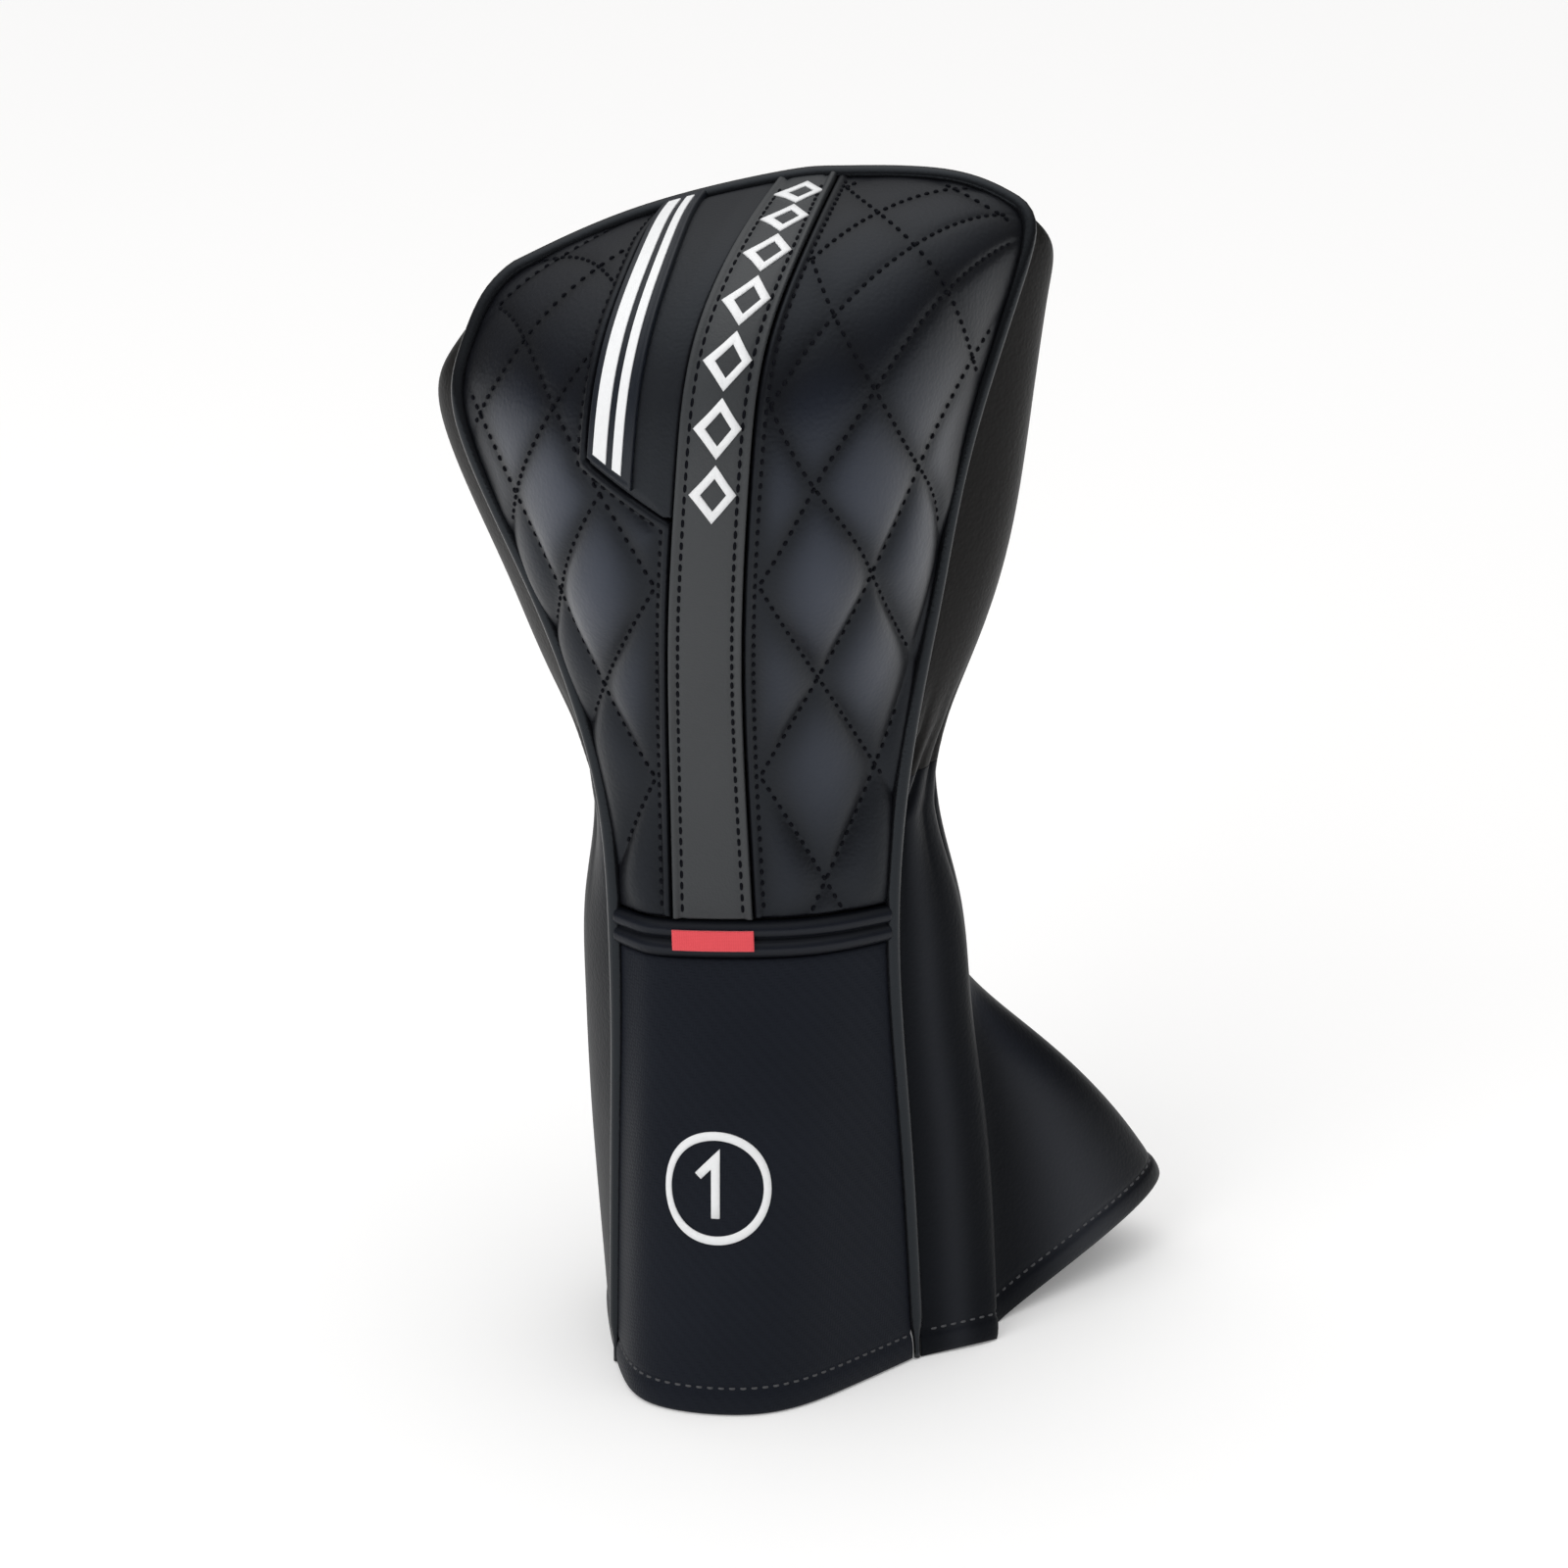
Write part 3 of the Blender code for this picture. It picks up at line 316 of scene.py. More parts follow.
def add_piece(name, points, faces, material, **fields):
    """One mesh object, smooth shaded, with numbers for its material stored on its points."""
    mesh = bpy.data.meshes.new(name)
    mesh.from_pydata(points.tolist(), [], faces.tolist() if hasattr(faces, "tolist") else faces)
    mesh.shade_smooth()
    mesh.materials.append(material)
    for field, values in fields.items():
        kind = "FLOAT_VECTOR" if values.ndim == 2 else "FLOAT"
        store = mesh.attributes.new(field, kind, "POINT")
        store.data.foreach_set("vector" if values.ndim == 2 else "value", values.ravel().astype(np.float32))
    made = bpy.data.objects.new(name, mesh)
    bpy.context.scene.collection.objects.link(made)
    return made


def spans(sheet, grid):
    """Lengths up a panel from its lower end, and to its nearest edge, at each point of its grid."""
    base = sheet.at(*grid)
    across, up = (
        np.pad(np.cumsum(np.linalg.norm(np.diff(base, axis=axis), axis=2), axis=axis), pad)
        for axis, pad in ((1, ((0, 0), (1, 0))), (0, ((1, 0), (0, 0))))
    )
    return up, np.minimum.reduce([across, across[:, -1:] - across, up, up[-1:] - up])


def shell(name, sheet, grid, outer, inner, roll, material, crown=None):
    """A panel of cloth or leather with a thickness, closed, with its outer face rolled over at the edges.

    The field cut holds the lengths across and up the panel, and the field crown what the caller gives: for
    leather, the share of painted highlight and polish.
    """
    u, v = grid
    up, to_edge = spans(sheet, grid)
    fall = roll - np.sqrt(np.clip(roll ** 2 - np.clip(roll - to_edge, 0, roll) ** 2, 0, None))
    outside = sheet.raised(u, v, outer - fall).reshape(-1, 3)
    inside = sheet.raised(u, v, inner).reshape(-1, 3)
    points = np.concatenate([outside, inside])
    points[:, 2] = np.maximum(points[:, 2], 0)
    count = u.size
    index = np.arange(count).reshape(u.shape)
    quads = np.stack([index[:-1, :-1], index[:-1, 1:], index[1:, 1:], index[1:, :-1]], axis=-1).reshape(-1, 4)
    rim = np.concatenate([index[0], index[1:, -1], index[-1, -2::-1], index[-2:0:-1, 0]])
    ahead = np.roll(rim, -1)
    edge = np.stack([rim, rim + count, ahead + count, ahead], axis=-1)
    cut = np.stack([sheet.reach(u, v), up, np.zeros_like(u)], axis=-1).reshape(-1, 3)
    crown = np.zeros(count) if crown is None else np.ravel(crown)
    return add_piece(name, points, np.concatenate([quads, quads[:, ::-1] + count, edge]), material,
                     cut=np.tile(cut, (2, 1)), crown=np.tile(crown, 2))


class Shade:
    """A shader socket that takes part in arithmetic: each operator adds the Math node that does it."""

    def __init__(self, tree, socket=None):
        self.tree = tree
        self.socket = socket

    def node(self, kind, settings=None, inputs=None, output=0):
        """Adds a node: its settings first, then the values or links of its sockets."""
        made = self.tree.nodes.new(kind)
        for name, value in (settings or {}).items():
            setattr(made, name, value)
        for name, value in (inputs or {}).items():
            if isinstance(value, Shade):
                self.tree.links.new(value.socket, made.inputs[name])
            else:
                made.inputs[name].default_value = value
        return Shade(self.tree, made.outputs[output])

    def math(self, operation, first, second=0.0):
        return self.node("ShaderNodeMath", {"operation": operation}, {0: first, 1: second})

    def mix(self, share, first, second):
        """A colour between two colours."""
        sockets = {"Factor": share, 6: first, 7: second}
        return self.node("ShaderNodeMix", {"data_type": "RGBA"}, sockets, 2)

    def __add__(self, other):
        return self.math("ADD", self, other)

    def __sub__(self, other):
        return self.math("SUBTRACT", self, other)

    def __rsub__(self, other):
        return self.math("SUBTRACT", other, self)

    def __mul__(self, other):
        return self.math("MULTIPLY", self, other)

    def __gt__(self, other):
        return self.math("GREATER_THAN", self, other)

    __radd__ = __add__
    __rmul__ = __mul__


def start_material(name):
    """A new material, and a Shade that adds nodes to it."""
    material = bpy.data.materials.new(name)
    material.use_nodes = True
    return material, Shade(material.node_tree)


def set_surface(material, **sockets):
    """Sets or links sockets of a material's surface, whose names are written with underscores."""
    surface = material.node_tree.nodes["Principled BSDF"]
    for name, value in sockets.items():
        socket = surface.inputs[name.replace("_", " ")]
        if isinstance(value, Shade):
            material.node_tree.links.new(value.socket, socket)
        else:
            socket.default_value = value


def mottle(shade, scale, detail, **more):
    """Soft random patches, finer with a larger scale."""
    place = shade.node("ShaderNodeTexCoord", output="Object")
    return shade.node("ShaderNodeTexNoise", None, {"Vector": place, "Scale": scale, "Detail": detail, **more})


def bumps(shade, strength, depth, height):
    """A surface direction that a height field tilts."""
    return shade.node("ShaderNodeBump", None, {"Strength": strength, "Distance": depth, "Height": height})


def fleece():
    """Short brushed pile: tufts of two dark greys, matt, with a soft sheen."""
    material, shade = start_material("lining_fleece")
    pile = mottle(shade, 700, 4, Roughness=0.7) * 0.7 + mottle(shade, 60, 2) * 0.3
    nap = bumps(shade, 0.8, 0.0008, pile)
    set_surface(material, Base_Color=shade.mix(pile, (0.012, 0.012, 0.014, 1), (0.060, 0.062, 0.068, 1)),
                Roughness=0.95, Specular_IOR_Level=0.15, Sheen_Weight=0.25, Sheen_Roughness=0.6, Normal=nap)
    return material


LEATHER = 0.0014
LAYER_GAP = 0.0009
FOAM = 0.0035
LINING = 0.0015
LAYER_INSET = 0.0065
UNDER_SKIN = LEATHER + LAYER_GAP
UNDER_FOAM = UNDER_SKIN + FOAM + LAYER_GAP
LINING_SPACING = 0.0028
HEM_FOLD_HEIGHT = 0.009
LINING_HEM_CLEAR = 0.0015
LINING_NECK_DROP = 0.006
WELT_HEIGHT = 0.0102
WELT_HALF_V = float(FRONT.up_by(BAND_MIDDLE, v_of["welt"], WELT_HEIGHT / 2))
WELT_LOW_V = v_of["welt"] - WELT_HALF_V
WELT_TOP_V = v_of["welt"] + WELT_HALF_V
SKIRT_LINING_V = float(FRONT.up_by(BAND_MIDDLE, 0, HEM_FOLD_HEIGHT + LINING_HEM_CLEAR))
GUSSET_LEFT = 0.80
FLAP_CORNER = 0.43
FRONT_SIDES = both_seams(FRONT, LAYER_INSET)
BACK_SIDES = both_seams(BACK, LAYER_INSET)
SKIRT_SIDES = (line_edge(BACK, FLAP_CORNER, 0), line_edge(BACK, GUSSET_LEFT, -LAYER_INSET))
NECK_V = v_of["neck"]

lining_cloth = fleece()


def follow_skirt(piece):
    """Leather or cloth of the skirt, with its placement baked into its points."""
    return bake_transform(piece)


def line_with_fleece(node, sheet, sides, ends, depth, flat, area):
    grid = cut_panel(sheet, sides, ends, LINING_SPACING, LINING / 2)
    piece = shell(node + "_cloth", sheet, grid, -depth, -depth - LINING, LINING / 2, lining_cloth)
    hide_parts(node)
    return piece


for node, sheet, sides, ends, depth, flat, area in (
        ("front_lining_head", FRONT, FRONT_SIDES, (WELT_TOP_V, ridge_edge(FRONT, LAYER_INSET)),
         UNDER_FOAM, (0.176, 0.239), 0.0230),
        ("front_lining_skirt", FRONT, FRONT_SIDES, (SKIRT_LINING_V, WELT_TOP_V),
         UNDER_SKIN, (0.099, 0.128), 0.0100),
        ("back_lining_head", BACK, BACK_SIDES, (NECK_V, ridge_edge(BACK, LAYER_INSET)),
         UNDER_SKIN, (0.229, 0.196), 0.0296)):
    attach(line_with_fleece(node, sheet, sides, ends, depth, flat, area), "cover")
rear_lining_ends = (SKIRT_LINING_V, NECK_V - LINING_NECK_DROP)
follow_skirt(line_with_fleece("rear_skirt_lining", BACK, SKIRT_SIDES, rear_lining_ends, UNDER_SKIN,
                              (0.150, 0.169), 0.0162))


# Foam padding
# Open-cell foam about 3.5 mm thick, cut to the two quilted fields.
# The leather is sewn through it, which makes the diamonds stand up.

PAD_INSET = 0.003
PAD_FOOT_RISE = 0.008
PATCH_REACH = 0.0245
PATCH_TOP_REACH = 0.030
PATCH_FLARE_START = 0.125
PATCH_FOOT_LOW = 0.0855
PATCH_FOOT_HIGH = 0.0997
BAND_TOP = band_length[-1]
GAP = 0.0003
HEAD_START = WELT_TOP_V + float(FRONT.up_by(BAND_MIDDLE, WELT_TOP_V, GAP))


def easing(value, low, high):
    """Smooth step from 0 at low to 1 at high."""
    t = np.clip((value - low) / (high - low), 0, 1)
    return t * t * (3 - 2 * t)


def patch_reach(up):
    """Distance from the band to the outer edge of the emblem panel, at a length above the neck."""
    return PATCH_REACH + (PATCH_TOP_REACH - PATCH_REACH) * easing(up, PATCH_FLARE_START, BAND_TOP)


def emblem_edge(offset):
    """Side of the left quilt: up the band, out along the foot of the emblem panel, up beside the panel."""
    def edge(v):
        up = length_above_neck(v)
        foot = np.clip((up - PATCH_FOOT_LOW) / (PATCH_FOOT_HIGH - PATCH_FOOT_LOW), 0, 1)
        start = FRONT.reach(BAND_LEFT, v)
        return FRONT.u_at(v, start - foot * patch_reach(up) - offset)
    return edge


def cells(shade, scale, **settings):
    """Small round cells side by side."""
    place = shade.node("ShaderNodeTexCoord", output="Object")
    return shade.node("ShaderNodeTexVoronoi", settings, {"Vector": place, "Scale": scale})


def open_cell_foam():
    """Pale foam with small round cells."""
    material, shade = start_material("padding_foam")
    foam_cells = cells(shade, 900)
    pits = bumps(shade, 0.6, 0.0005, foam_cells)
    set_surface(material, Base_Color=shade.mix(foam_cells, (0.34, 0.33, 0.29, 1), (0.60, 0.59, 0.54, 1)),
                Roughness=0.9, Normal=pits)
    return material


foam = open_cell_foam()
for node, sides in (
        ("foam_pad_right", (line_edge(FRONT, BAND_RIGHT, PAD_INSET), FRONT_SIDES[1])),
        ("foam_pad_left", (FRONT_SIDES[0], emblem_edge(PAD_INSET)))):
    pad_ends = (HEAD_START + PAD_FOOT_RISE, ridge_edge(FRONT, LAYER_INSET))
    pad_grid = cut_panel(FRONT, sides, pad_ends, LINING_SPACING, FOAM / 3)
    pad = shell(node + "_foam", FRONT, pad_grid, -UNDER_SKIN, -UNDER_SKIN - FOAM, FOAM / 3, foam)
    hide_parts(node)
    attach(pad, "cover")


# Quilted panels
# Soft black leather sewn through the foam in slanting rows, so that it swells into diamonds.
# They stretch over the front of the head on both sides of the band and shrink towards the dome.

QUILT_CROWN = 0.0040
QUILT_DOME_CROWN = 0.0005
QUILT_SINK = 0.0004
QUILT_CHANNEL = 0.0044
QUILT_DOME_CHANNEL = 0.0030
QUILT_SHARPNESS = 1.15
# Painted highlight on the diamonds: on their crowns, weaker low down, fading near the piped seam and over the
# dome.
QUILT_DOME_HIGHLIGHT = 0.08
QUILT_MARGIN = 0.0030
QUILT_SEAM_DRAW = 0.0045
QUILT_SEAM_CLEAR = 0.0062
QUILT_FOOT_DRAW = 0.8
QUILT_HIGHLIGHT_CLEAR = (0.004, 0.024)
QUILT_HIGHLIGHT_RISE = (-0.02, 0.045)
QUILT_FOOT_HIGHLIGHT = 0.4
QUILT_HIGHLIGHT_FOCUS = 1.9
QUILT_HIGHLIGHT_TOP = (0.085, 0.130)
QUILT_SPACING = 0.0009
QUILT_EDGE_RIB = 0.0009
QUILT_STITCH = (0.0018, 0.0009, 0.0008)
SEWN_ROWS = np.arange(-3, 12, 0.04)
SEWN_LINES = range(-6, 14)
SEWN_REACH = 0.15
SEWN_EDGE_CLEAR = 0.0004
EDGE_SEAM_STEP = 0.001
EDGE_SEAM_FOOT = 0.002
EDGE_SEAM_TOP = 0.004
FIRST_KNOT = 0.004
KNOT_ABOVE_NECK = 0.0055
DOME_START = 0.066
DOME_FULL = 0.104
DIAMOND_HALF_WIDTH = 0.0163
DIAMOND_HALF_HEIGHT = 0.0312
STITCH_PITCH = 0.0031
POLISH = 0.6
POLISH_ROUGHNESS = 0.30
POLISH_IOR = 1.62
SEAM_INSET = 0.0013
SKIN_ROLL = 0.0011


def distance_to_path(x, y, path):
    """Shortest distance from each point to a line of straight pieces."""
    nearest = np.full(np.shape(x), np.inf)
    for (ax, ay), (bx, by) in zip(path, path[1:]):
        dx, dy = bx - ax, by - ay
        share = np.clip(((x - ax) * dx + (y - ay) * dy) / (dx * dx + dy * dy), 0, 1)
        nearest = np.minimum(nearest, np.hypot(x - ax - share * dx, y - ay - share * dy))
    return nearest


class Quilting:
    """The sewn diamonds on one side of the band, in lengths away from the band and up from the neck.

    Sewn lines cross at knots, which have whole columns and rows. Over the dome each column is wider than the
    last by a share spread. A row sinks by tilt on its way to the seam.
    """

    def __init__(self, band_u, seam_u, dome_half_width, dome_half_height, spread, tilt, edge_path):
        self.band_u, self.seam_u, self.edge_path = band_u, seam_u, edge_path
        self.spread, self.tilt = spread, tilt
        self.outward = 1 if seam_u > band_u else -1
        self.dome_half_width = dome_half_width
        self.dome_half_height = dome_half_height
        self.lengths = np.linspace(band_length[0], BAND_TOP + 2 * DIAMOND_HALF_HEIGHT, 601)
        shrink = easing(self.lengths, DOME_START, DOME_FULL)
        row_step = DIAMOND_HALF_HEIGHT * (1 - shrink) + dome_half_height * shrink
        self.rows = np.pad(np.cumsum(np.diff(self.lengths) / row_step[1:]), (1, 0))
        self.rows -= np.interp(KNOT_ABOVE_NECK, self.lengths, self.rows)

    def column_step(self, climbed):
        """Width of the first column, and the share by which the next ones widen."""
        shrink = easing(climbed, DOME_START, DOME_FULL)
        return DIAMOND_HALF_WIDTH * (1 - shrink) + self.dome_half_width * shrink, self.spread * shrink

    def spot(self, u, v):
        """Lengths away from the band and up from the neck."""
        away = (FRONT.reach(u, v) - FRONT.reach(self.band_u, v)) * self.outward
        return away, length_above_neck(v)

    def clear(self, away, up, u, v):
        """How far a point lies inside the quilted field, from its inner edge and from the piped seam."""
        to_seam = np.abs(FRONT.reach(self.seam_u, v) - FRONT.reach(u, v))
        inside = np.where(away > np.interp(up, *self.edge_line()), 1, -1)
        to_edge = distance_to_path(away, up, self.edge_path) * inside - QUILT_MARGIN
        return to_edge, np.minimum(to_seam, BAND_TOP - up)

    def edge_line(self):
        path = np.asarray(self.edge_path)
        return path[:, 1], path[:, 0]

    def depth(self, u, v):
        """Height of the leather over the sheet, and the share of painted highlight and polish on its crowns.
        """
        away, up = self.spot(u, v)
        climbed = up + self.tilt * away
        step, spread = self.column_step(climbed)
        even_column = (away - FIRST_KNOT) / step
        column = 2 * even_column / (1 + np.sqrt(1 + 4 * spread * even_column))
        step = step * (1 + 2 * spread * np.clip(column, 0, None))
        row = np.interp(climbed, self.lengths, self.rows)
        dome = easing(climbed, DOME_START, DOME_FULL)
        half_height = DIAMOND_HALF_HEIGHT * (1 - dome) + self.dome_half_height * dome
        spacing = 2 * step * half_height / np.hypot(step, half_height)
        channel = QUILT_CHANNEL * (1 - dome) + QUILT_DOME_CHANNEL * dome
        to_edge, to_seam = self.clear(away, up, u, v)
        pillow = 1 - np.exp(-(np.clip(to_seam, 0, None) / QUILT_SEAM_DRAW) ** QUILT_SHARPNESS)
        to_lines = [np.abs(family / 2 - np.round(family / 2)) * spacing
                    for family in (column + row, column - row)]
        for gap in (*to_lines, np.clip(to_edge, 0, None)):
            pillow *= 1 - np.exp(-(gap / channel) ** QUILT_SHARPNESS)
        to_foot = np.clip(up - length_above_neck(HEAD_START), 0, None)
        pillow *= 1 - QUILT_FOOT_DRAW * np.exp(-(to_foot / QUILT_SEAM_DRAW) ** QUILT_SHARPNESS)
        crown = QUILT_CROWN * (1 - dome) + QUILT_DOME_CROWN * dome
        across_rib = np.clip(-to_edge / QUILT_MARGIN, 0, 1)
        rib = np.where(to_edge < 0, QUILT_EDGE_RIB * np.sin(np.pi * across_rib), 0)
        # Painted highlight with a little polish on the crowns; the creases between them keep the dark colour
        # as painted shade.
        highlight_and_polish = pillow ** QUILT_HIGHLIGHT_FOCUS * easing(to_seam, *QUILT_HIGHLIGHT_CLEAR)
        highlight_and_polish *= QUILT_FOOT_HIGHLIGHT + (1 - QUILT_FOOT_HIGHLIGHT) * easing(up, *QUILT_HIGHLIGHT_RISE)
        highlight_and_polish *= 1 - (1 - QUILT_DOME_HIGHLIGHT) * easing(up, *QUILT_HIGHLIGHT_TOP)
        return crown * pillow - QUILT_SINK + rib, highlight_and_polish

    def uv(self, away, up):
        v = v_above_neck(up)
        start = FRONT.reach(self.band_u, v)
        return FRONT.u_at(v, start + away * self.outward), v

    def sewn_lines(self):
        """Each sewn line inside the field, as arrays of u and v."""
        for sign in (1, -1):
            for k in SEWN_LINES:
                column = 2 * k + sign * SEWN_ROWS
                climbed = np.interp(SEWN_ROWS, self.rows, self.lengths)
                step, spread = self.column_step(climbed)
                away = column * step * (1 + spread * np.clip(column, 0, None)) + FIRST_KNOT
                up = climbed - self.tilt * away
                near = (away > 0) & (away < SEWN_REACH)
                near &= (up > length_above_neck(HEAD_START)) & (up < BAND_TOP)
                if near.sum() < 4:
                    continue
                away, up = away[near], up[near]
                u, v = self.uv(away, up)
                to_edge, to_seam = self.clear(away, up, u, v)
                inside = (to_edge > SEWN_EDGE_CLEAR) & (to_seam > QUILT_SEAM_CLEAR) & (u > 0) & (u < 1)
                stops = np.flatnonzero(np.diff(inside.astype(int)))
                for run in np.split(np.arange(len(u)), stops + 1):
                    if inside[run[0]] and len(run) > 3:
                        yield u[run], v[run]

    def edge_seam(self):
        """The seam that holds the quilt beside its inner edge, as arrays of u and v."""
        path = offset_path(self.edge_path, -QUILT_MARGIN)
        length = lengths_along(path)
        along = np.arange(0, length[-1], EDGE_SEAM_STEP)
        away, up = (np.interp(along, length, path[:, k]) for k in (0, 1))
        inside = (up > length_above_neck(HEAD_START) + EDGE_SEAM_FOOT) & (up < BAND_TOP - EDGE_SEAM_TOP)
        return self.uv(away[inside], up[inside])


def offset_path(path, distance):
    """A line that keeps a distance to the left of a path, mitred at its corners."""
    path = np.asarray(path, float)
    ahead = np.diff(path, axis=0)
    ahead /= np.linalg.norm(ahead, axis=1, keepdims=True)
    before = np.concatenate([ahead[:1], ahead])
    after = np.concatenate([ahead, ahead[-1:]])
    mitre = before + after
    mitre /= np.linalg.norm(mitre, axis=1, keepdims=True)
    reach = distance / np.sum(mitre * after, axis=1, keepdims=True)
    return path + np.stack([-mitre[:, 1], mitre[:, 0]], axis=1) * reach


def cut_lengths(shade):
    """Lengths across and up a panel, from where it was cut."""
    cut = shade.node("ShaderNodeAttribute", {"attribute_name": "cut"}, output="Vector")
    return [shade.node("ShaderNodeSeparateXYZ", None, {"Vector": cut}, axis) for axis in ("X", "Y")]


def leather(name, dark, light, roughness, gloss, grain, relief, tint=(1, 1, 1), highlight_and_polish=0.0, weave=0.0):
    """Soft leather with a pebbled grain and clouds of tone.

    grain is the size of a pebble and relief its depth. A share of the crown field paints a highlight, as a
    paler colour, and gives a polished coat there. With a weave size the grain is pressed as a fine twill.
    """
    material, shade = start_material(name)
    pebbles = cells(shade, 1 / grain, feature="SMOOTH_F1")
    creases = mottle(shade, 0.35 / grain, 5)
    clouds = mottle(shade, 28, 3)
    crown = shade.node("ShaderNodeAttribute", {"attribute_name": "crown"}, output="Fac")
    height = creases * 0.6 - pebbles * 0.8
    # Painted highlight: where the crown field is high the colour moves to the light one; the coat adds real
    # polish there.
    tone = clouds * (1 - highlight_and_polish) + crown * highlight_and_polish
    if weave:
        across, up = (length * (1 / weave) for length in cut_lengths(shade))
        diagonal = shade.math("FRACT", (shade.math("FLOOR", across) + shade.math("FLOOR", up)) * 0.25)
        over = diagonal > 0.4
        warp = shade.math("PINGPONG", across, 0.5) * over
        weft = shade.math("PINGPONG", up, 0.5) * (1 - over)
        height = height * 0.4 + (warp + weft) * 1.2
        tone = tone * 0.85 + over * 0.15
    set_surface(material, Base_Color=shade.mix(tone, (*dark, 1), (*light, 1)),
                Roughness=clouds * 0.14 - crown * 0.08 + (roughness - 0.05), Specular_IOR_Level=gloss,
                Specular_Tint=(*tint, 1), Coat_Weight=crown * (POLISH * highlight_and_polish),
                Coat_Roughness=POLISH_ROUGHNESS, Coat_IOR=POLISH_IOR,
                Normal=bumps(shade, 0.55, relief, height))
    return material


def thread(name, colour, roughness):
    """Twisted sewing thread: fine slanting plies of one colour."""
    material, shade = start_material(name)
    plies = mottle(shade, 2600, 2)
    ridges = bumps(shade, 0.5, 0.0002, plies)
    deep = tuple(part * 0.45 for part in colour)
    set_surface(material, Base_Color=shade.mix(plies, (*deep, 1), (*colour, 1)), Roughness=roughness,
                Specular_IOR_Level=0.12, Normal=ridges)
    return material


def stitch_run(sheet, u, v, depth, pitch):
    """Place, direction and outward normal of each stitch of a seam along a line."""
    path = sheet.raised(u, v, depth)
    length = lengths_along(path)
    count = max(1, int(round(length[-1] / pitch)))
    middle = (np.arange(count) + 0.5) * length[-1] / count
    ahead = np.gradient(path, length, axis=0)
    out = sheet.normal(u, v)
    parts = [np.stack([np.interp(middle, length, whole[:, k]) for k in range(3)], axis=1)
             for whole in (path, ahead, out)]
    return [parts[0]] + [part / np.linalg.norm(part, axis=1, keepdims=True) for part in parts[1:]]


def sew(name, runs, size, material):
    """All stitches of some runs: plump loops of thread whose ends dip into the leather."""
    place, ahead, out = (np.concatenate(part)[:, None, None, :] for part in zip(*runs))
    side = np.cross(ahead, out)
    length, width, lift = size
    along = np.linspace(-1, 1, 7)[None, :, None, None]
    angle = np.linspace(0, 2 * np.pi, 8, endpoint=False)[None, None, :, None]
    girth = np.sqrt(1.05 - along ** 4)
    points = place + ahead * along * length / 2 + side * np.cos(angle) * girth * width / 2
    points = points + out * (np.sin(angle) * girth * lift / 2 + lift * (0.3 - 0.5 * along ** 2))
    rings, ring = points.shape[1:3]
    first = np.arange(len(points))[:, None, None] * rings * ring
    k = np.arange(rings - 1)[None, :, None] * ring
    j = np.arange(ring)[None, None, :]
    following = (j + 1) % ring
    quads = np.stack(np.broadcast_arrays(first + k + j, first + k + ring + j, first + k + ring + following,
                                         first + k + following), axis=-1).reshape(-1, 4)
    end_ring = (rings - 1) * ring + np.arange(ring)[::-1]
    caps = [tuple(int(n) for n in base + np.arange(ring)) for base in first.ravel()]
    caps += [tuple(int(n) for n in base + end_ring) for base in first.ravel()]
    return add_piece(name, points.reshape(-1, 3), quads.tolist() + caps, material)


EDGE_START = (0, -0.05)
EDGE_PAST_RIDGE = 0.02
PATCH_FLARE_LEVELS = (0.150, 0.180)
RIGHT_EDGE = (EDGE_START, (0, 0.25))
LEFT_EDGE = (EDGE_START, (0, PATCH_FOOT_LOW), (PATCH_REACH, PATCH_FOOT_HIGH),
             (PATCH_REACH, PATCH_FLARE_START),
             *((patch_reach(level), level) for level in PATCH_FLARE_LEVELS),
             (PATCH_TOP_REACH, BAND_TOP + EDGE_PAST_RIDGE))
SKIN_TOP = ridge_edge(FRONT, SEAM_INSET)

# The light colour is a painted bluish highlight, which the crown field lays on the diamonds.
quilt_leather = leather("quilt_leather", (0.0042, 0.0042, 0.0054), (0.0105, 0.0165, 0.0360), roughness=0.40,
                        gloss=0.28, grain=0.0011, relief=0.00016, tint=(0.80, 0.89, 1.0), highlight_and_polish=0.95)
black_thread = thread("black_thread", (0.0040, 0.0046, 0.0080), 0.75)
quilts = {
    "quilt_right": Quilting(BAND_RIGHT, 1, dome_half_width=0.0104, dome_half_height=0.0208,
                            spread=0.175, tilt=0.0, edge_path=RIGHT_EDGE),
    "quilt_left": Quilting(BAND_LEFT, 0, dome_half_width=0.0166, dome_half_height=0.0255,
                           spread=0.0, tilt=0.25, edge_path=LEFT_EDGE),
}
quilt_sides = {
    "quilt_right": (line_edge(FRONT, BAND_RIGHT, GAP), seam_edge(FRONT, 1, SEAM_INSET)),
    "quilt_left": (seam_edge(FRONT, 0, SEAM_INSET), emblem_edge(GAP)),
}
for node, quilting in quilts.items():
    quilt_grid = cut_panel(FRONT, quilt_sides[node], (HEAD_START, SKIN_TOP), QUILT_SPACING, SKIN_ROLL)
    quilt_depth, quilt_highlight = quilting.depth(*quilt_grid)
    quilt = shell(node + "_skin", FRONT, quilt_grid, quilt_depth, -LEATHER, SKIN_ROLL, quilt_leather,
                  quilt_highlight)
    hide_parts(node)
    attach(quilt, "cover")
    seams = [*quilting.sewn_lines(), quilting.edge_seam()]
    quilt_runs = [stitch_run(FRONT, u, v, quilting.depth(u, v)[0], STITCH_PITCH) for u, v in seams]
    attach(sew(node + "_thread", quilt_runs, QUILT_STITCH, black_thread), "cover")


# Centre band
# A strip of grey leather with its two long edges folded under, so that they stand proud like cords.
# It is laid over the inner edges of the quilts and sewn down just inside each fold.

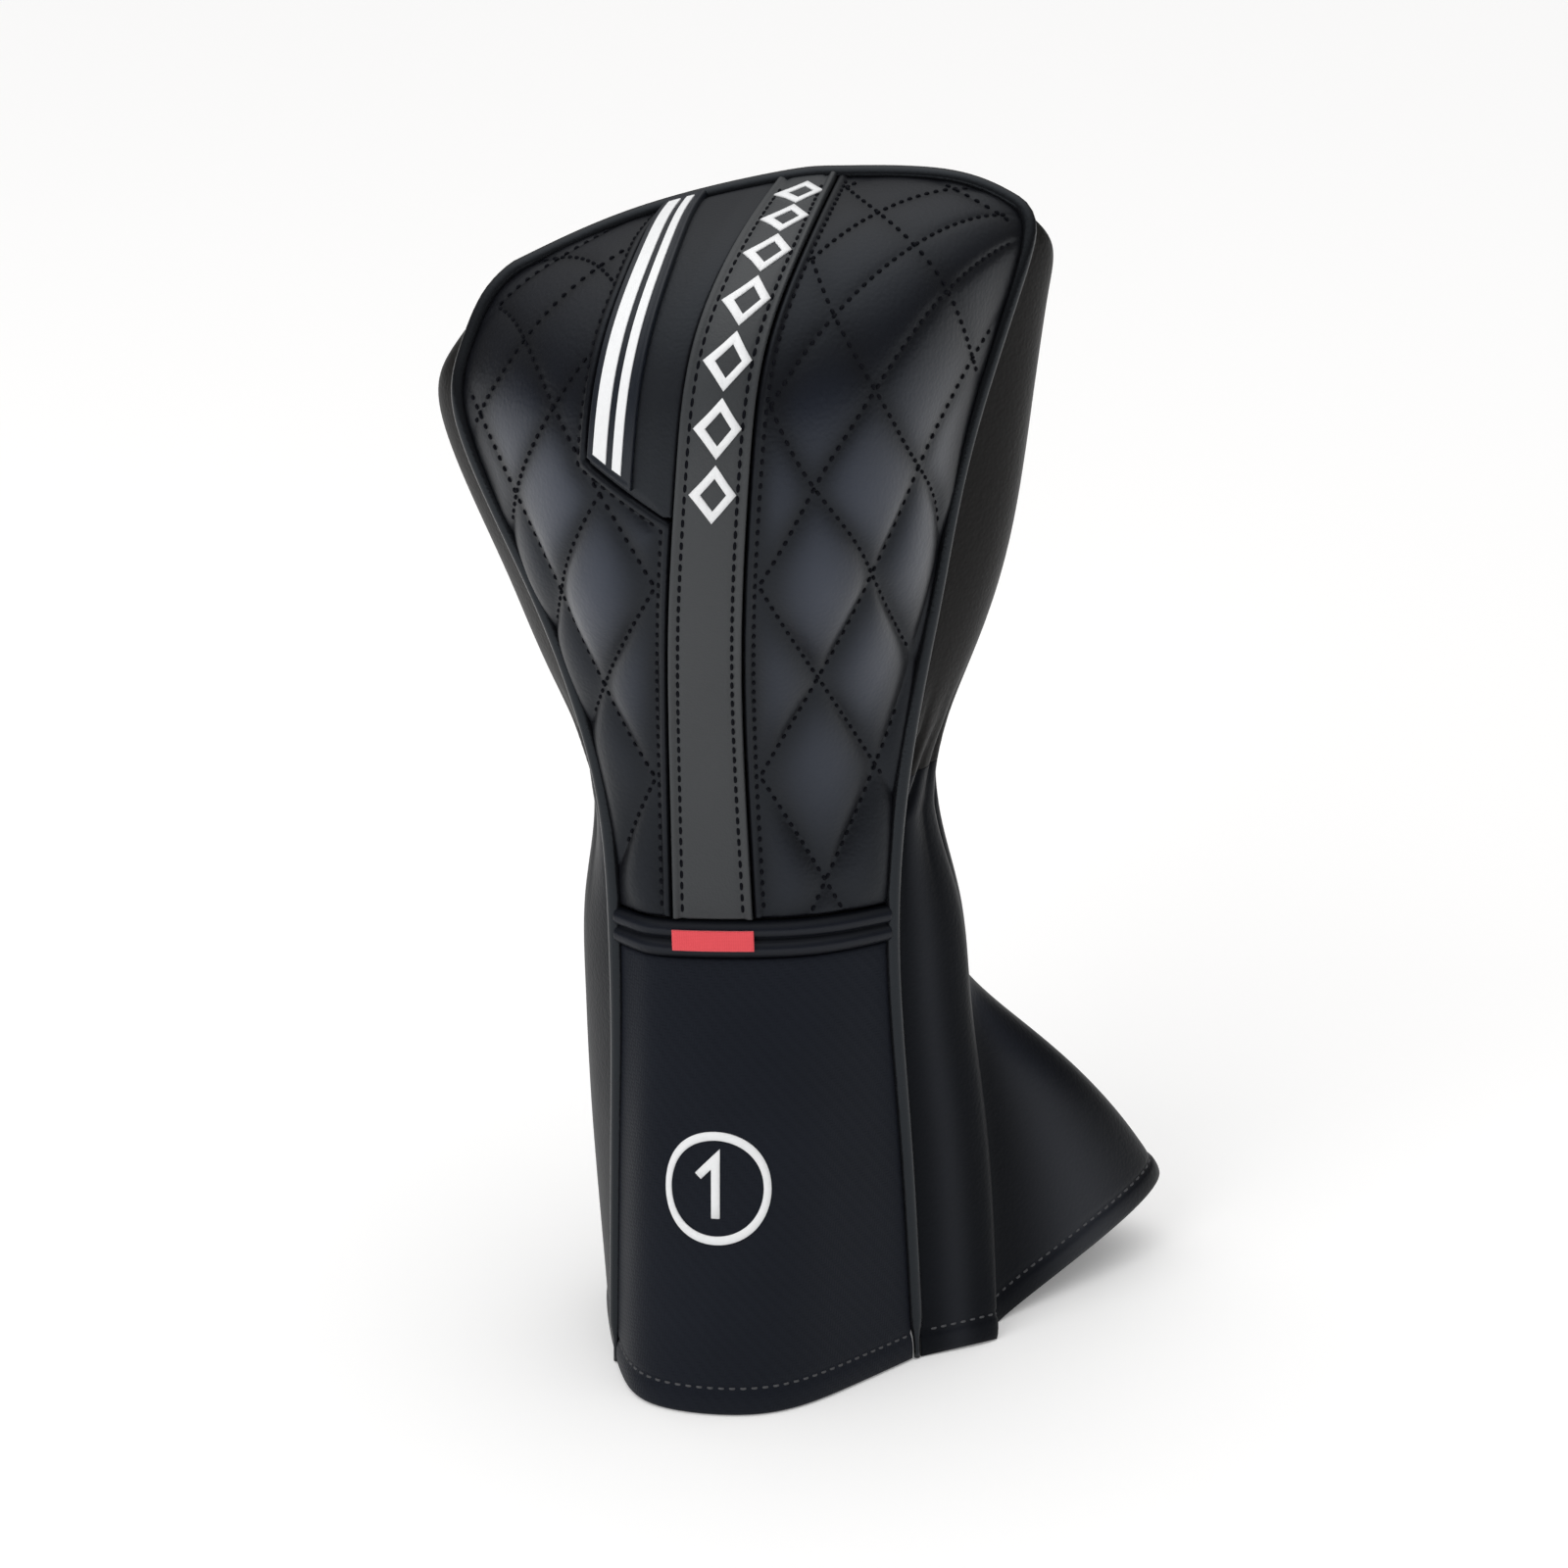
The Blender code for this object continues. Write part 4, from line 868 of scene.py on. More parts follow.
BAND_FLAT = 0.0004
BAND_FOLD_WIDTH = 0.0018
BAND_FOLD_RISE = 0.0009
BAND_SEAM_INSET = 0.0026
BAND_SEAM_WIDTH = 0.0006
BAND_SEAM_DEPTH = 0.0003
BAND_SPACING = 0.0008
BAND_ROLL = 0.0006
BAND_SEAM_FOOT = 0.004
BAND_SEAM_TOP_V = 0.985
BAND_STITCH = (0.0025, 0.0008, 0.0006)


def band_height(u, v):
    """Height of the band over the sheet: flat, with a rounded fold and a sewn groove along each edge."""
    from_left = FRONT.reach(u, v) - FRONT.reach(BAND_LEFT, v)
    from_right = FRONT.reach(BAND_RIGHT, v) - FRONT.reach(u, v)
    inset = np.minimum(from_left, from_right)
    fold = np.sqrt(np.clip(1 - (2 * inset / BAND_FOLD_WIDTH - 1) ** 2, 0, 1))
    groove = np.exp(-((inset - BAND_SEAM_INSET) / BAND_SEAM_WIDTH) ** 2)
    return BAND_FLAT + BAND_FOLD_RISE * fold - BAND_SEAM_DEPTH * groove


def line_beside(sheet, u, inset, low_v, high_v):
    """A line that keeps a length across the sheet from a line of constant u, as arrays of u and v."""
    v = np.linspace(low_v, high_v, 300)
    return sheet.u_at(v, sheet.reach(u, v) + inset), v


band_leather = leather("band_leather", (0.028, 0.0308, 0.0338), (0.043, 0.0468, 0.0506), roughness=0.46,
                       gloss=0.45, grain=0.0006, relief=0.00014)
band_grid = cut_panel(FRONT, (line_edge(FRONT, BAND_LEFT, 0), line_edge(FRONT, BAND_RIGHT, 0)),
                      (HEAD_START, SKIN_TOP), BAND_SPACING, BAND_ROLL)
band = shell("center_band_strip", FRONT, band_grid, band_height(*band_grid), -LEATHER, BAND_ROLL,
             band_leather)
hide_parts("center_band")
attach(band, "cover")

band_runs = []
for band_side, band_inset in ((BAND_LEFT, BAND_SEAM_INSET), (BAND_RIGHT, -BAND_SEAM_INSET)):
    seam_u, seam_v = line_beside(FRONT, band_side, band_inset, HEAD_START + BAND_SEAM_FOOT, BAND_SEAM_TOP_V)
    band_runs.append(stitch_run(FRONT, seam_u, seam_v, band_height(seam_u, seam_v), STITCH_PITCH))
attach(sew("center_band_thread", band_runs, BAND_STITCH, black_thread), "cover")


# Band marks
# Seven hollow lozenges in white raised print, in a row up the upper half of the band.
# The print is laid on in one thick coat, so its edges are round.

PRINT_THICKNESS = 0.0005
PRINT_SINK = 0.0001
PRINT_STEP = 0.0012
PRINT_PROFILE = ((-1, 0), (-1, 0.55), (-0.8, 1), (0.8, 1), (1, 0.55), (1, 0))
CORNER_CLEAR = 1.3
LOZENGE_HALF_WIDTH = 0.0044
LOZENGE_HALF_LENGTH = 0.0060
LOZENGE_STROKE = 0.0020
LOZENGE_FIRST = 0.094
LOZENGE_PITCH = 0.0168
LOZENGE_COUNT = 7


def white_ink():
    """Thick white print, a little uneven in tone and gloss."""
    material, shade = start_material("white_print")
    coat = mottle(shade, 900, 3)
    rough = bumps(shade, 0.25, 0.0002, coat)
    set_surface(material, Base_Color=shade.mix(coat, (0.86, 0.87, 0.88, 1), (0.94, 0.95, 0.96, 1)),
                Roughness=coat * 0.2 + 0.38, Specular_IOR_Level=0.4, Normal=rough)
    return material


def printed_line(name, sheet, centre, path, stroke, base, closed):
    """A raised printed line on a sheet, with its path in lengths across and up from its centre."""
    corners = list(path) + [path[0]] * closed
    dense = []
    for start, stop in zip(corners, corners[1:]):
        length = np.hypot(stop[0] - start[0], stop[1] - start[1])
        clear = CORNER_CLEAR * stroke
        between = np.arange(clear, length - clear, PRINT_STEP) / length
        dense += [np.array(start) + (np.array(stop) - start) * share for share in (0, *between)]
    dense = np.array(dense if closed else dense + [np.array(path[-1])])
    rounds = np.concatenate([dense[-1:], dense, dense[:1]]) if closed else dense
    rails = []
    for side, lift in PRINT_PROFILE:
        rail = offset_path(rounds, -side * stroke / 2)
        rail = rail[1:-1] if closed else rail
        u = centre[0] + sheet.across_by(*centre, rail[:, 0])
        v = centre[1] + sheet.up_by(*centre, rail[:, 1])
        rails.append(sheet.raised(u, v, base - PRINT_SINK + lift * (PRINT_THICKNESS + PRINT_SINK)))
    count = len(dense)
    ring = len(PRINT_PROFILE)
    faces = []
    for i in range(count if closed else count - 1):
        k = (i + 1) % count
        faces += [(a * count + i, a * count + k, b * count + k, b * count + i)
                  for a, b in ((a, (a + 1) % ring) for a in range(ring))]
    if not closed:
        faces.append(tuple(a * count for a in range(ring)))
        faces.append(tuple(a * count + count - 1 for a in reversed(range(ring))))
    return add_piece(name, np.concatenate(rails), faces, white_print)


white_print = white_ink()
lozenge = ((0, -LOZENGE_HALF_LENGTH), (LOZENGE_HALF_WIDTH, 0),
           (0, LOZENGE_HALF_LENGTH), (-LOZENGE_HALF_WIDTH, 0))
for i in range(LOZENGE_COUNT):
    mark_centre = (BAND_MIDDLE, float(v_above_neck(LOZENGE_FIRST + i * LOZENGE_PITCH)))
    node = f"band_mark_{i + 1}"
    mark = printed_line(node + "_print", FRONT, mark_centre, lozenge, LOZENGE_STROKE, BAND_FLAT, True)
    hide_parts(node)
    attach(mark, "cover")


# Emblem panel and patch
# A plain leather panel fills the corner beside the band, sewn in flat.
# A moulded rubber blade with a raised rim is bonded onto it, and two white stripes are printed along it.

EMBLEM_TIP = 0.0015
EMBLEM_SPACING = 0.0013
EMBLEM_BOW = 0.0008
EMBLEM_BOW_REACH = 0.006
PATCH_WIDTH = 0.0125
PATCH_TOP_WIDTH = 0.0105
PATCH_MARGIN = 0.0012
PATCH_LIFT = 0.0024
PATCH_THICKNESS = 0.0013
PATCH_RIM_RISE = 0.0004
PATCH_RIM_WIDTH = 0.0011
PATCH_ROLL = 0.0005
STRIPE_MARGIN = 0.0022
STRIPES = {"emblem_stripe_outer": (0.14, 0.44), "emblem_stripe_inner": (0.58, 0.78)}


def patch_edge(inward):
    """Line beside the outer edge of the patch, moved in towards the band by a share of its width."""
    def edge(v):
        up = length_above_neck(v)
        taper = easing(up, PATCH_FLARE_START, BAND_TOP)
        width = PATCH_WIDTH + (PATCH_TOP_WIDTH - PATCH_WIDTH) * taper
        return FRONT.u_at(v, FRONT.reach(BAND_LEFT, v) + inward * width + PATCH_MARGIN - patch_reach(up))
    return edge


def patch_foot(lift):
    """Lower end parallel to the foot of the emblem panel and above it by lift, as a function of u."""
    line = np.linspace(PATCH_FOOT_LOW, PATCH_FOOT_HIGH, 9)
    foot = emblem_edge(0)(v_above_neck(line))
    return lambda u: v_above_neck(np.interp(-u, -foot, line) + lift)


def moulded_rubber():
    """Dark navy rubber with a fine satin mould texture."""
    material, shade = start_material("patch_rubber")
    clouds = mottle(shade, 40, 2)
    fine = bumps(shade, 0.3, 0.0001, mottle(shade, 1800, 2))
    navy = shade.mix(clouds, (0.0060, 0.0085, 0.0140, 1), (0.0095, 0.0130, 0.0200, 1))
    set_surface(material, Base_Color=navy,
                Roughness=clouds * 0.15 + 0.33, Specular_IOR_Level=0.4, Normal=fine)
    return material


panel_sides = (emblem_edge(0), line_edge(FRONT, BAND_LEFT, -GAP))
panel_ends = (float(v_above_neck(PATCH_FOOT_LOW + EMBLEM_TIP)), SKIN_TOP)
panel_grid = cut_panel(FRONT, panel_sides, panel_ends, EMBLEM_SPACING, SKIN_ROLL)
panel_bow = easing(spans(FRONT, panel_grid)[1], 0, EMBLEM_BOW_REACH)
emblem_leather = leather("emblem_leather", (0.0080, 0.0085, 0.0105), (0.0125, 0.0132, 0.0160), roughness=0.46,
                         gloss=0.30, grain=0.0009, relief=0.00016, tint=(0.8, 0.9, 1.0))
emblem = shell("emblem_panel_skin", FRONT, panel_grid, EMBLEM_BOW * panel_bow, -LEATHER, SKIN_ROLL,
               emblem_leather)
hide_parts("emblem_panel")
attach(emblem, "cover")

patch_base = EMBLEM_BOW - PRINT_SINK
patch_ends = (patch_foot(PATCH_LIFT), ridge_edge(FRONT, SEAM_INSET + PATCH_MARGIN))
patch_grid = cut_panel(FRONT, (patch_edge(0), patch_edge(1)), patch_ends, BAND_SPACING, PATCH_ROLL)
patch_inset = spans(FRONT, patch_grid)[1]
patch_rim = np.sqrt(np.clip(1 - (2 * patch_inset / PATCH_RIM_WIDTH - 1) ** 2, 0, 1))
patch_top = patch_base + PATCH_THICKNESS + PATCH_RIM_RISE * patch_rim
patch = shell("emblem_patch_blade", FRONT, patch_grid, patch_top, 0.0, PATCH_ROLL, moulded_rubber())
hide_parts("emblem_patch")
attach(patch, "cover")

for node, (near, far) in STRIPES.items():
    stripe_top = ridge_edge(FRONT, SEAM_INSET + PATCH_MARGIN + STRIPE_MARGIN)
    stripe_ends = (patch_foot(PATCH_LIFT + STRIPE_MARGIN), stripe_top)
    stripe_grid = cut_panel(FRONT, (patch_edge(near), patch_edge(far)), stripe_ends, BAND_SPACING,
                            PRINT_THICKNESS / 2)
    stripe_low = patch_base + PATCH_THICKNESS - PRINT_SINK
    stripe = shell(node + "_print", FRONT, stripe_grid, stripe_low + PRINT_THICKNESS, stripe_low,
                   PRINT_THICKNESS / 2, white_print)
    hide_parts(node)
    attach(stripe, "cover")


# Lower front of the sleeve
# One panel of black leather pressed with a fine twill, set between the two piped seams.
# Its hem is turned up inside, which makes a soft roll below a row of topstitching.

SLEEVE_SPACING = 0.0014
HEM_FOLD_THICKNESS = 0.0026
HEM_STITCH_HEIGHT = 0.0078
HEM_ROLL_RISE = 0.0005
HEM_GROOVE = 0.0004
HEM_GROOVE_WIDTH = 0.0010
HEM_STITCH = (0.0020, 0.0007, 0.0006)
HEM_PITCH = 0.0030
HEM_ROUNDNESS = 0.7
HEM_FOLD_EASE = 0.001
HEM_STITCH_ENDS = (0.012, 0.988)
HEM_PROBE_V = 0.01
SLEEVE_TOP_CLEAR_V = 0.0006


def hem_height(up):
    """Height of a hemmed panel over its sheet, at lengths up from the hem."""
    roll = np.sin(np.pi * np.clip(up / HEM_STITCH_HEIGHT, 0, 1)) ** HEM_ROUNDNESS
    groove = np.exp(-((up - HEM_STITCH_HEIGHT) / HEM_GROOVE_WIDTH) ** 2)
    return HEM_ROLL_RISE * roll - HEM_GROOVE * groove


def hem_inside(up):
    """Depth of the inner face of a hemmed panel, thick where the hem is turned up."""
    folded = 1 - easing(up, HEM_FOLD_HEIGHT - HEM_FOLD_EASE, HEM_FOLD_HEIGHT)
    return -LEATHER - (HEM_FOLD_THICKNESS - LEATHER) * folded


def hem_run(sheet, sides):
    """Stitches of the hem of a panel, all the way between its two sides."""
    share = np.linspace(*HEM_STITCH_ENDS, 400)
    low = np.zeros_like(share)
    u = sides[0](low) * (1 - share) + sides[1](low) * share
    v = sheet.up_by(u, low + HEM_PROBE_V, HEM_STITCH_HEIGHT)
    return stitch_run(sheet, u, v, hem_height(np.full_like(u, HEM_STITCH_HEIGHT)), HEM_PITCH)


FRONT_SKIN_SIDES = both_seams(FRONT, SEAM_INSET)
twill_leather = leather("twill_leather", (0.0068, 0.0078, 0.0115), (0.0118, 0.0136, 0.0198), roughness=0.50,
                        gloss=0.12, grain=0.0009, relief=0.00014, tint=(0.8, 0.9, 1.0), weave=0.0009)
grey_thread = thread("grey_thread", (0.120, 0.122, 0.130), 0.7)
sleeve_ends = (0, WELT_LOW_V - SLEEVE_TOP_CLEAR_V)
sleeve_grid = cut_panel(FRONT, FRONT_SKIN_SIDES, sleeve_ends, SLEEVE_SPACING, SKIN_ROLL)
sleeve_up = spans(FRONT, sleeve_grid)[0]
sleeve_front = shell("lower_front_panel_skin", FRONT, sleeve_grid, hem_height(sleeve_up),
                     hem_inside(sleeve_up), SKIN_ROLL, twill_leather)
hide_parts("lower_front_panel")
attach(sleeve_front, "cover")
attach(sew("front_hem_thread", [hem_run(FRONT, FRONT_SKIN_SIDES)], HEM_STITCH, grey_thread), "cover")


# Double welt and its tab
# Two rolled strips of leather, one above the other, hide the join of the head and the sleeve.
# A red woven tab is folded over them and sewn down at the middle of the band.

WELT_BASE = 0.0002
WELT_RIB = 0.0019
WELT_ROUNDNESS = 0.55
WELT_SPACING = 0.0007
WELT_HIGHLIGHT = 0.35
TAB_WIDTH = 0.0228
TAB_HEIGHT = 0.0056
TAB_THICKNESS = 0.0008
TAB_ROLL = 0.00035
TAB_SPACING = 0.0005
TAB_LIFT = 0.0004
TAB_SINK = 0.0002


def welt_height(v):
    share = (v - WELT_LOW_V) / (WELT_TOP_V - WELT_LOW_V)
    return WELT_BASE + WELT_RIB * np.abs(np.sin(2 * np.pi * np.clip(share, 0, 1))) ** WELT_ROUNDNESS


def woven_ribbon():
    """Coral red ribbon with a fine rib across it."""
    material, shade = start_material("red_tab_cloth")
    across, up = cut_lengths(shade)
    ribs = shade.math("PINGPONG", across * 2200, 0.5) + shade.math("PINGPONG", up * 2600, 0.5)
    weave = bumps(shade, 0.5, 0.0002, ribs)
    set_surface(material, Base_Color=shade.mix(ribs, (0.78, 0.064, 0.080, 1), (0.92, 0.105, 0.125, 1)),
                Roughness=0.6, Specular_IOR_Level=0.3, Sheen_Weight=0.15, Normal=weave)
    return material


# The light colour is a painted bluish highlight, laid on the skirt, welt and pleats by the crown field.
sleeve_leather = leather("sleeve_leather", (0.0025, 0.0026, 0.0033), (0.0130, 0.0160, 0.0260), roughness=0.42,
                         gloss=0.08, grain=0.0010, relief=0.00018, tint=(0.8, 0.9, 1.0), highlight_and_polish=0.8)
# The tops of the welt's ribs get a painted highlight and a little polish.
welt_grid = cut_panel(FRONT, FRONT_SKIN_SIDES, (WELT_LOW_V, WELT_TOP_V), WELT_SPACING, GAP)
welt_rise = welt_height(welt_grid[1])
welt = shell("welt_band_skin", FRONT, welt_grid, welt_rise, -LEATHER, GAP, sleeve_leather,
             WELT_HIGHLIGHT * (welt_rise / WELT_RIB) ** 3)
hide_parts("welt_band")
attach(welt, "cover")

tab_half_v = float(FRONT.up_by(BAND_MIDDLE, v_of["welt"], TAB_HEIGHT / 2))
tab_sides = (line_edge(FRONT, BAND_MIDDLE, -TAB_WIDTH / 2), line_edge(FRONT, BAND_MIDDLE, TAB_WIDTH / 2))
tab_ends = (v_of["welt"] - tab_half_v, v_of["welt"] + tab_half_v)
tab_grid = cut_panel(FRONT, tab_sides, tab_ends, TAB_SPACING, TAB_ROLL)
tab = shell("red_tab_ribbon", FRONT, tab_grid, WELT_RIB + TAB_LIFT + TAB_THICKNESS, WELT_RIB - TAB_SINK,
            TAB_ROLL, woven_ribbon())
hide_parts("red_tab")
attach(tab, "cover")


# Numbered badge
# A ring round a plain 1, the number that a driver has in a set of clubs.
# It is in the same raised white print as the marks on the band.

BADGE_HEIGHT = 0.064
BADGE_RADIUS = 0.0158
BADGE_STROKE = 0.0024
BADGE_STEPS = 72
NUMERAL_HEIGHT = 0.0165
NUMERAL_FLAG = 0.0048

badge_v = np.linspace(0, v_of["belly"], 401)
badge_z = FRONT.at(BAND_MIDDLE, badge_v)[:, 2]
badge_centre = (BAND_MIDDLE, float(np.interp(BADGE_HEIGHT, badge_z, badge_v)))
badge_angles = np.linspace(0, 2 * np.pi, BADGE_STEPS, endpoint=False)
badge_radius = BADGE_RADIUS - BADGE_STROKE / 2
badge_circle = [(badge_radius * np.cos(angle), badge_radius * np.sin(angle)) for angle in badge_angles]
numeral_rise = NUMERAL_HEIGHT / 2
numeral = ((-NUMERAL_FLAG, numeral_rise - NUMERAL_FLAG), (0, numeral_rise), (0, -numeral_rise))
for node, path, closed in (("badge_ring", badge_circle, True), ("badge_numeral", numeral, False)):
    mark = printed_line(node + "_print", FRONT, badge_centre, path, BADGE_STROKE, 0, closed)
    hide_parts(node)
    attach(mark, "cover")


# Back of the head
# Three plain leather panels, one behind and one at each side, joined by two upright seams.
# An elastic sewn inside the neck draws their lower edge into small gathers.

SIDE_SEAM_RIGHT = 0.17
SIDE_SEAM_LEFT = 0.87
BACK_SPACING = 0.0015
GATHER_COUNT = 18
GATHER_DEPTH = 0.0013
GATHER_SHARPNESS = 0.7
GATHER_ABOVE = 0.016
GATHER_BELOW = 0.030
GATHER_LEAN = 150
GATHER_LEAN_RISE = 0.012
GATHER_LEAN_MIDDLE = 0.45
GATHER_MEAN = 0.65
GATHER_SWING = 0.35
GATHER_BEAT = 7.3
GATHER_SHIFT = 0.8
GATHER_LEVEL = 1.2
GATHER_CLEAR = 0.025
GATHER_HIGHLIGHT = 0.5
SIDE_SEAM_ROLL = 0.0002
BACK_TOP = ridge_edge(BACK, SEAM_INSET)
ELASTIC_ROWS = (0.004, 0.009, 0.014)
ELASTIC_SEAM_CLEAR = 0.018
NECK_STITCH = (0.0024, 0.0007, 0.0006)
neck_speed = float(np.linalg.norm(BACK.slopes(np.array([0.5]), np.array([NECK_V]))[1]))


def gathers(u, v):
    """Small leaning pleats at the elastic, sharply creased and uneven, fading above and below the neck."""
    rise = (v - NECK_V) * neck_speed
    fade = np.exp(-(rise / np.where(rise > 0, GATHER_ABOVE, GATHER_BELOW)) ** 2)
    lean = GATHER_LEAN * np.clip(rise, -GATHER_LEAN_RISE, GATHER_LEAN_RISE) * (GATHER_LEAN_MIDDLE - u)
    turn = np.pi * (GATHER_COUNT * u - lean)
    uneven = GATHER_MEAN + GATHER_SWING * np.sin(GATHER_BEAT * 2 * np.pi * u + GATHER_SHIFT)
    ends = easing(np.minimum(u, 1 - u), 0, GATHER_CLEAR)
    return GATHER_DEPTH * fade * uneven * ends * (2 * np.abs(np.sin(turn)) ** GATHER_SHARPNESS - GATHER_LEVEL)


# Painted highlight, with a little polish, on the crests of the gathers.
def pleat_highlight(u, v):
    return GATHER_HIGHLIGHT * np.clip(gathers(u, v) / GATHER_DEPTH, 0, 1)


back_leather = leather("back_leather", (0.0046, 0.0042, 0.0041), (0.0110, 0.0100, 0.0098), roughness=0.44,
                       gloss=0.13, grain=0.0011, relief=0.00022, highlight_and_polish=0.3)
back_sides = {
    "side_panel_right": (seam_edge(BACK, 0, SEAM_INSET), line_edge(BACK, SIDE_SEAM_RIGHT, -GAP / 2)),
    "back_panel": (line_edge(BACK, SIDE_SEAM_RIGHT, GAP / 2), line_edge(BACK, SIDE_SEAM_LEFT, -GAP / 2)),
    "side_panel_left": (line_edge(BACK, SIDE_SEAM_LEFT, GAP / 2), seam_edge(BACK, 1, SEAM_INSET)),
}
back_flats = {
    "side_panel_right": (0.030, 0.170, 0.0039),
    "back_panel": (0.182, 0.181, 0.0260),
    "side_panel_left": (0.038, 0.164, 0.0043),
}
for node, sides in back_sides.items():
    back_grid = cut_panel(BACK, sides, (NECK_V, BACK_TOP), BACK_SPACING, SIDE_SEAM_ROLL)
    back_depth = gathers(*back_grid)
    back_inside = np.minimum(-LEATHER, back_depth - LEATHER)
    back_piece = shell(node + "_skin", BACK, back_grid, back_depth, back_inside, SIDE_SEAM_ROLL, back_leather,
                       pleat_highlight(*back_grid))
    width, length, area = back_flats[node]
    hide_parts(node)
    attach(back_piece, "cover")

elastic_runs = []
for row in ELASTIC_ROWS:
    row_u = np.linspace(SIDE_SEAM_RIGHT + ELASTIC_SEAM_CLEAR, SIDE_SEAM_LEFT - ELASTIC_SEAM_CLEAR, 400)
    row_v = np.full_like(row_u, NECK_V + row / neck_speed)
    elastic_runs.append(stitch_run(BACK, row_u, row_v, gathers(row_u, row_v), STITCH_PITCH))
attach(sew("neck_thread", elastic_runs, NECK_STITCH, black_thread), "cover")


# Neck elastic
# Flat ribbed webbing, sewn inside the back of the neck over the lining.
# It grips the shaft side of the club and closes the cover round it.

ELASTIC_HEIGHT = 0.018
ELASTIC_THICKNESS = 0.0016
ELASTIC_SPACING = 0.002
ELASTIC_ROLL = 0.0005


def ribbed_webbing():
    """Black elastic with ribs along it."""
    material, shade = start_material("elastic_webbing")
    ribs = shade.math("PINGPONG", cut_lengths(shade)[1] * 800, 0.5)
    relief = bumps(shade, 0.8, 0.0005, ribs)
    set_surface(material, Base_Color=shade.mix(ribs * 2, (0.008, 0.008, 0.009, 1), (0.030, 0.030, 0.033, 1)),
                Roughness=0.8, Specular_IOR_Level=0.2, Normal=relief)
    return material


elastic_under = UNDER_SKIN + LINING + LAYER_GAP
elastic_sides = both_seams(BACK, 2 * LAYER_INSET)
elastic_ends = (NECK_V, NECK_V + ELASTIC_HEIGHT / neck_speed)
elastic_grid = cut_panel(BACK, elastic_sides, elastic_ends, ELASTIC_SPACING, ELASTIC_ROLL)
elastic = shell("neck_elastic_webbing", BACK, elastic_grid, -elastic_under,
                -elastic_under - ELASTIC_THICKNESS, ELASTIC_ROLL, ribbed_webbing())
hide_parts("neck_elastic")
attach(elastic, "cover")


# Skirt
# Soft leather hung from the neck in two panels: a narrow gusset on the left, and one wide piece that is
# pleated on the right and flares out behind as a flap. The hem is turned up like that of the front.

SKIRT_SPACING = 0.0016
# Painted highlight stripes down the flap and the gusset: middle and half width in u, then strength.
FLAP_HIGHLIGHT_STRIPE = (0.300, 0.032)
FLAP_HIGHLIGHT = 0.55
GUSSET_HIGHLIGHT_STRIPE = (0.045, 0.018)
GUSSET_HIGHLIGHT = 0.3
SKIRT_HIGHLIGHT_FADE_V = NECK_V / 3
SKIRT_GAP_V = 0.0001
SKIRT_TOP_V = NECK_V - SKIRT_GAP_V
skirt_panels = {
    "skirt_leather": (
        (seam_edge(BACK, 0, SEAM_INSET), line_edge(BACK, GUSSET_LEFT, -GAP / 2)),
        (0.287, 0.180, 0.0337),
        ("skirt_side_right", "rear_skirt_panel"),
    ),
    "skirt_side_left_skin": (
        (line_edge(BACK, GUSSET_LEFT, GAP / 2), seam_edge(BACK, 1, SEAM_INSET)),
        (0.067, 0.173, 0.0103),
        ("skirt_side_left",),
    ),
}


def skirt_highlight(u, v):
    """Painted highlight on the skirt, with a little polish: on a stripe down the flap and one down the
    gusset, fading towards the neck, and on the crests of the pleats.
    """
    flap, gusset = (np.exp(-((u - middle) / half) ** 2) for middle, half in (FLAP_HIGHLIGHT_STRIPE, GUSSET_HIGHLIGHT_STRIPE))
    highlight_stripes = FLAP_HIGHLIGHT * flap + GUSSET_HIGHLIGHT * gusset
    return highlight_stripes * easing(NECK_V - v, 0, SKIRT_HIGHLIGHT_FADE_V) + pleat_highlight(u, v)


skirt_runs = []
for name, (sides, (width, length, area), nodes) in skirt_panels.items():
    skirt_grid = cut_panel(BACK, sides, (0, SKIRT_TOP_V), SKIRT_SPACING, SIDE_SEAM_ROLL)
    skirt_up = spans(BACK, skirt_grid)[0]
    skirt_depth = hem_height(skirt_up) + gathers(*skirt_grid)
    skirt_inside = np.minimum(hem_inside(skirt_up), skirt_depth - LEATHER)
    skirt = shell(name, BACK, skirt_grid, skirt_depth, skirt_inside, SIDE_SEAM_ROLL, sleeve_leather,
                  skirt_highlight(*skirt_grid))
    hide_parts(*nodes)
    follow_skirt(skirt)
    skirt_runs.append(hem_run(BACK, sides))
follow_skirt(sew("skirt_hem_thread", skirt_runs, HEM_STITCH, grey_thread))


# Piping
# A thin cord wrapped in smooth leather, sewn into the seam between front and back.
# It runs up one side from the hem, over the ridge of the head and down the other side.

PIPING_RADIUS = 0.0021
PIPING_SIDES = 14
PIPING_STEP = 0.0022
PIPING_END_RADIUS = 0.0009
PIPING_TAPER = (0.005, 0.013)


def cord_tube(name, path, radius, sides, material):
    """A closed tube along a path of points, with a radius at each."""
    ahead = np.gradient(path, axis=0)
    ahead /= np.linalg.norm(ahead, axis=1, keepdims=True)
    angles = np.linspace(0, 2 * np.pi, sides, endpoint=False)
    side = np.array((0, -1, 0.0))
    points = []
    for place, direction, reach in zip(path, ahead, radius):
        side = side - direction * np.dot(side, direction)
        side /= np.linalg.norm(side)
        other = np.cross(direction, side)
        points.append(place + (np.cos(angles)[:, None] * side + np.sin(angles)[:, None] * other) * reach)
    points = np.concatenate(points)
    points[:, 2] = np.maximum(points[:, 2], 0)
    faces = []
    for i in range(len(path) - 1):
        for j in range(sides):
            k = (j + 1) % sides
            faces.append((i * sides + j, i * sides + k, (i + 1) * sides + k, (i + 1) * sides + j))
    faces.append(tuple(reversed(range(sides))))
    faces.append(tuple((len(path) - 1) * sides + j for j in range(sides)))
    return add_piece(name, points, faces, material)


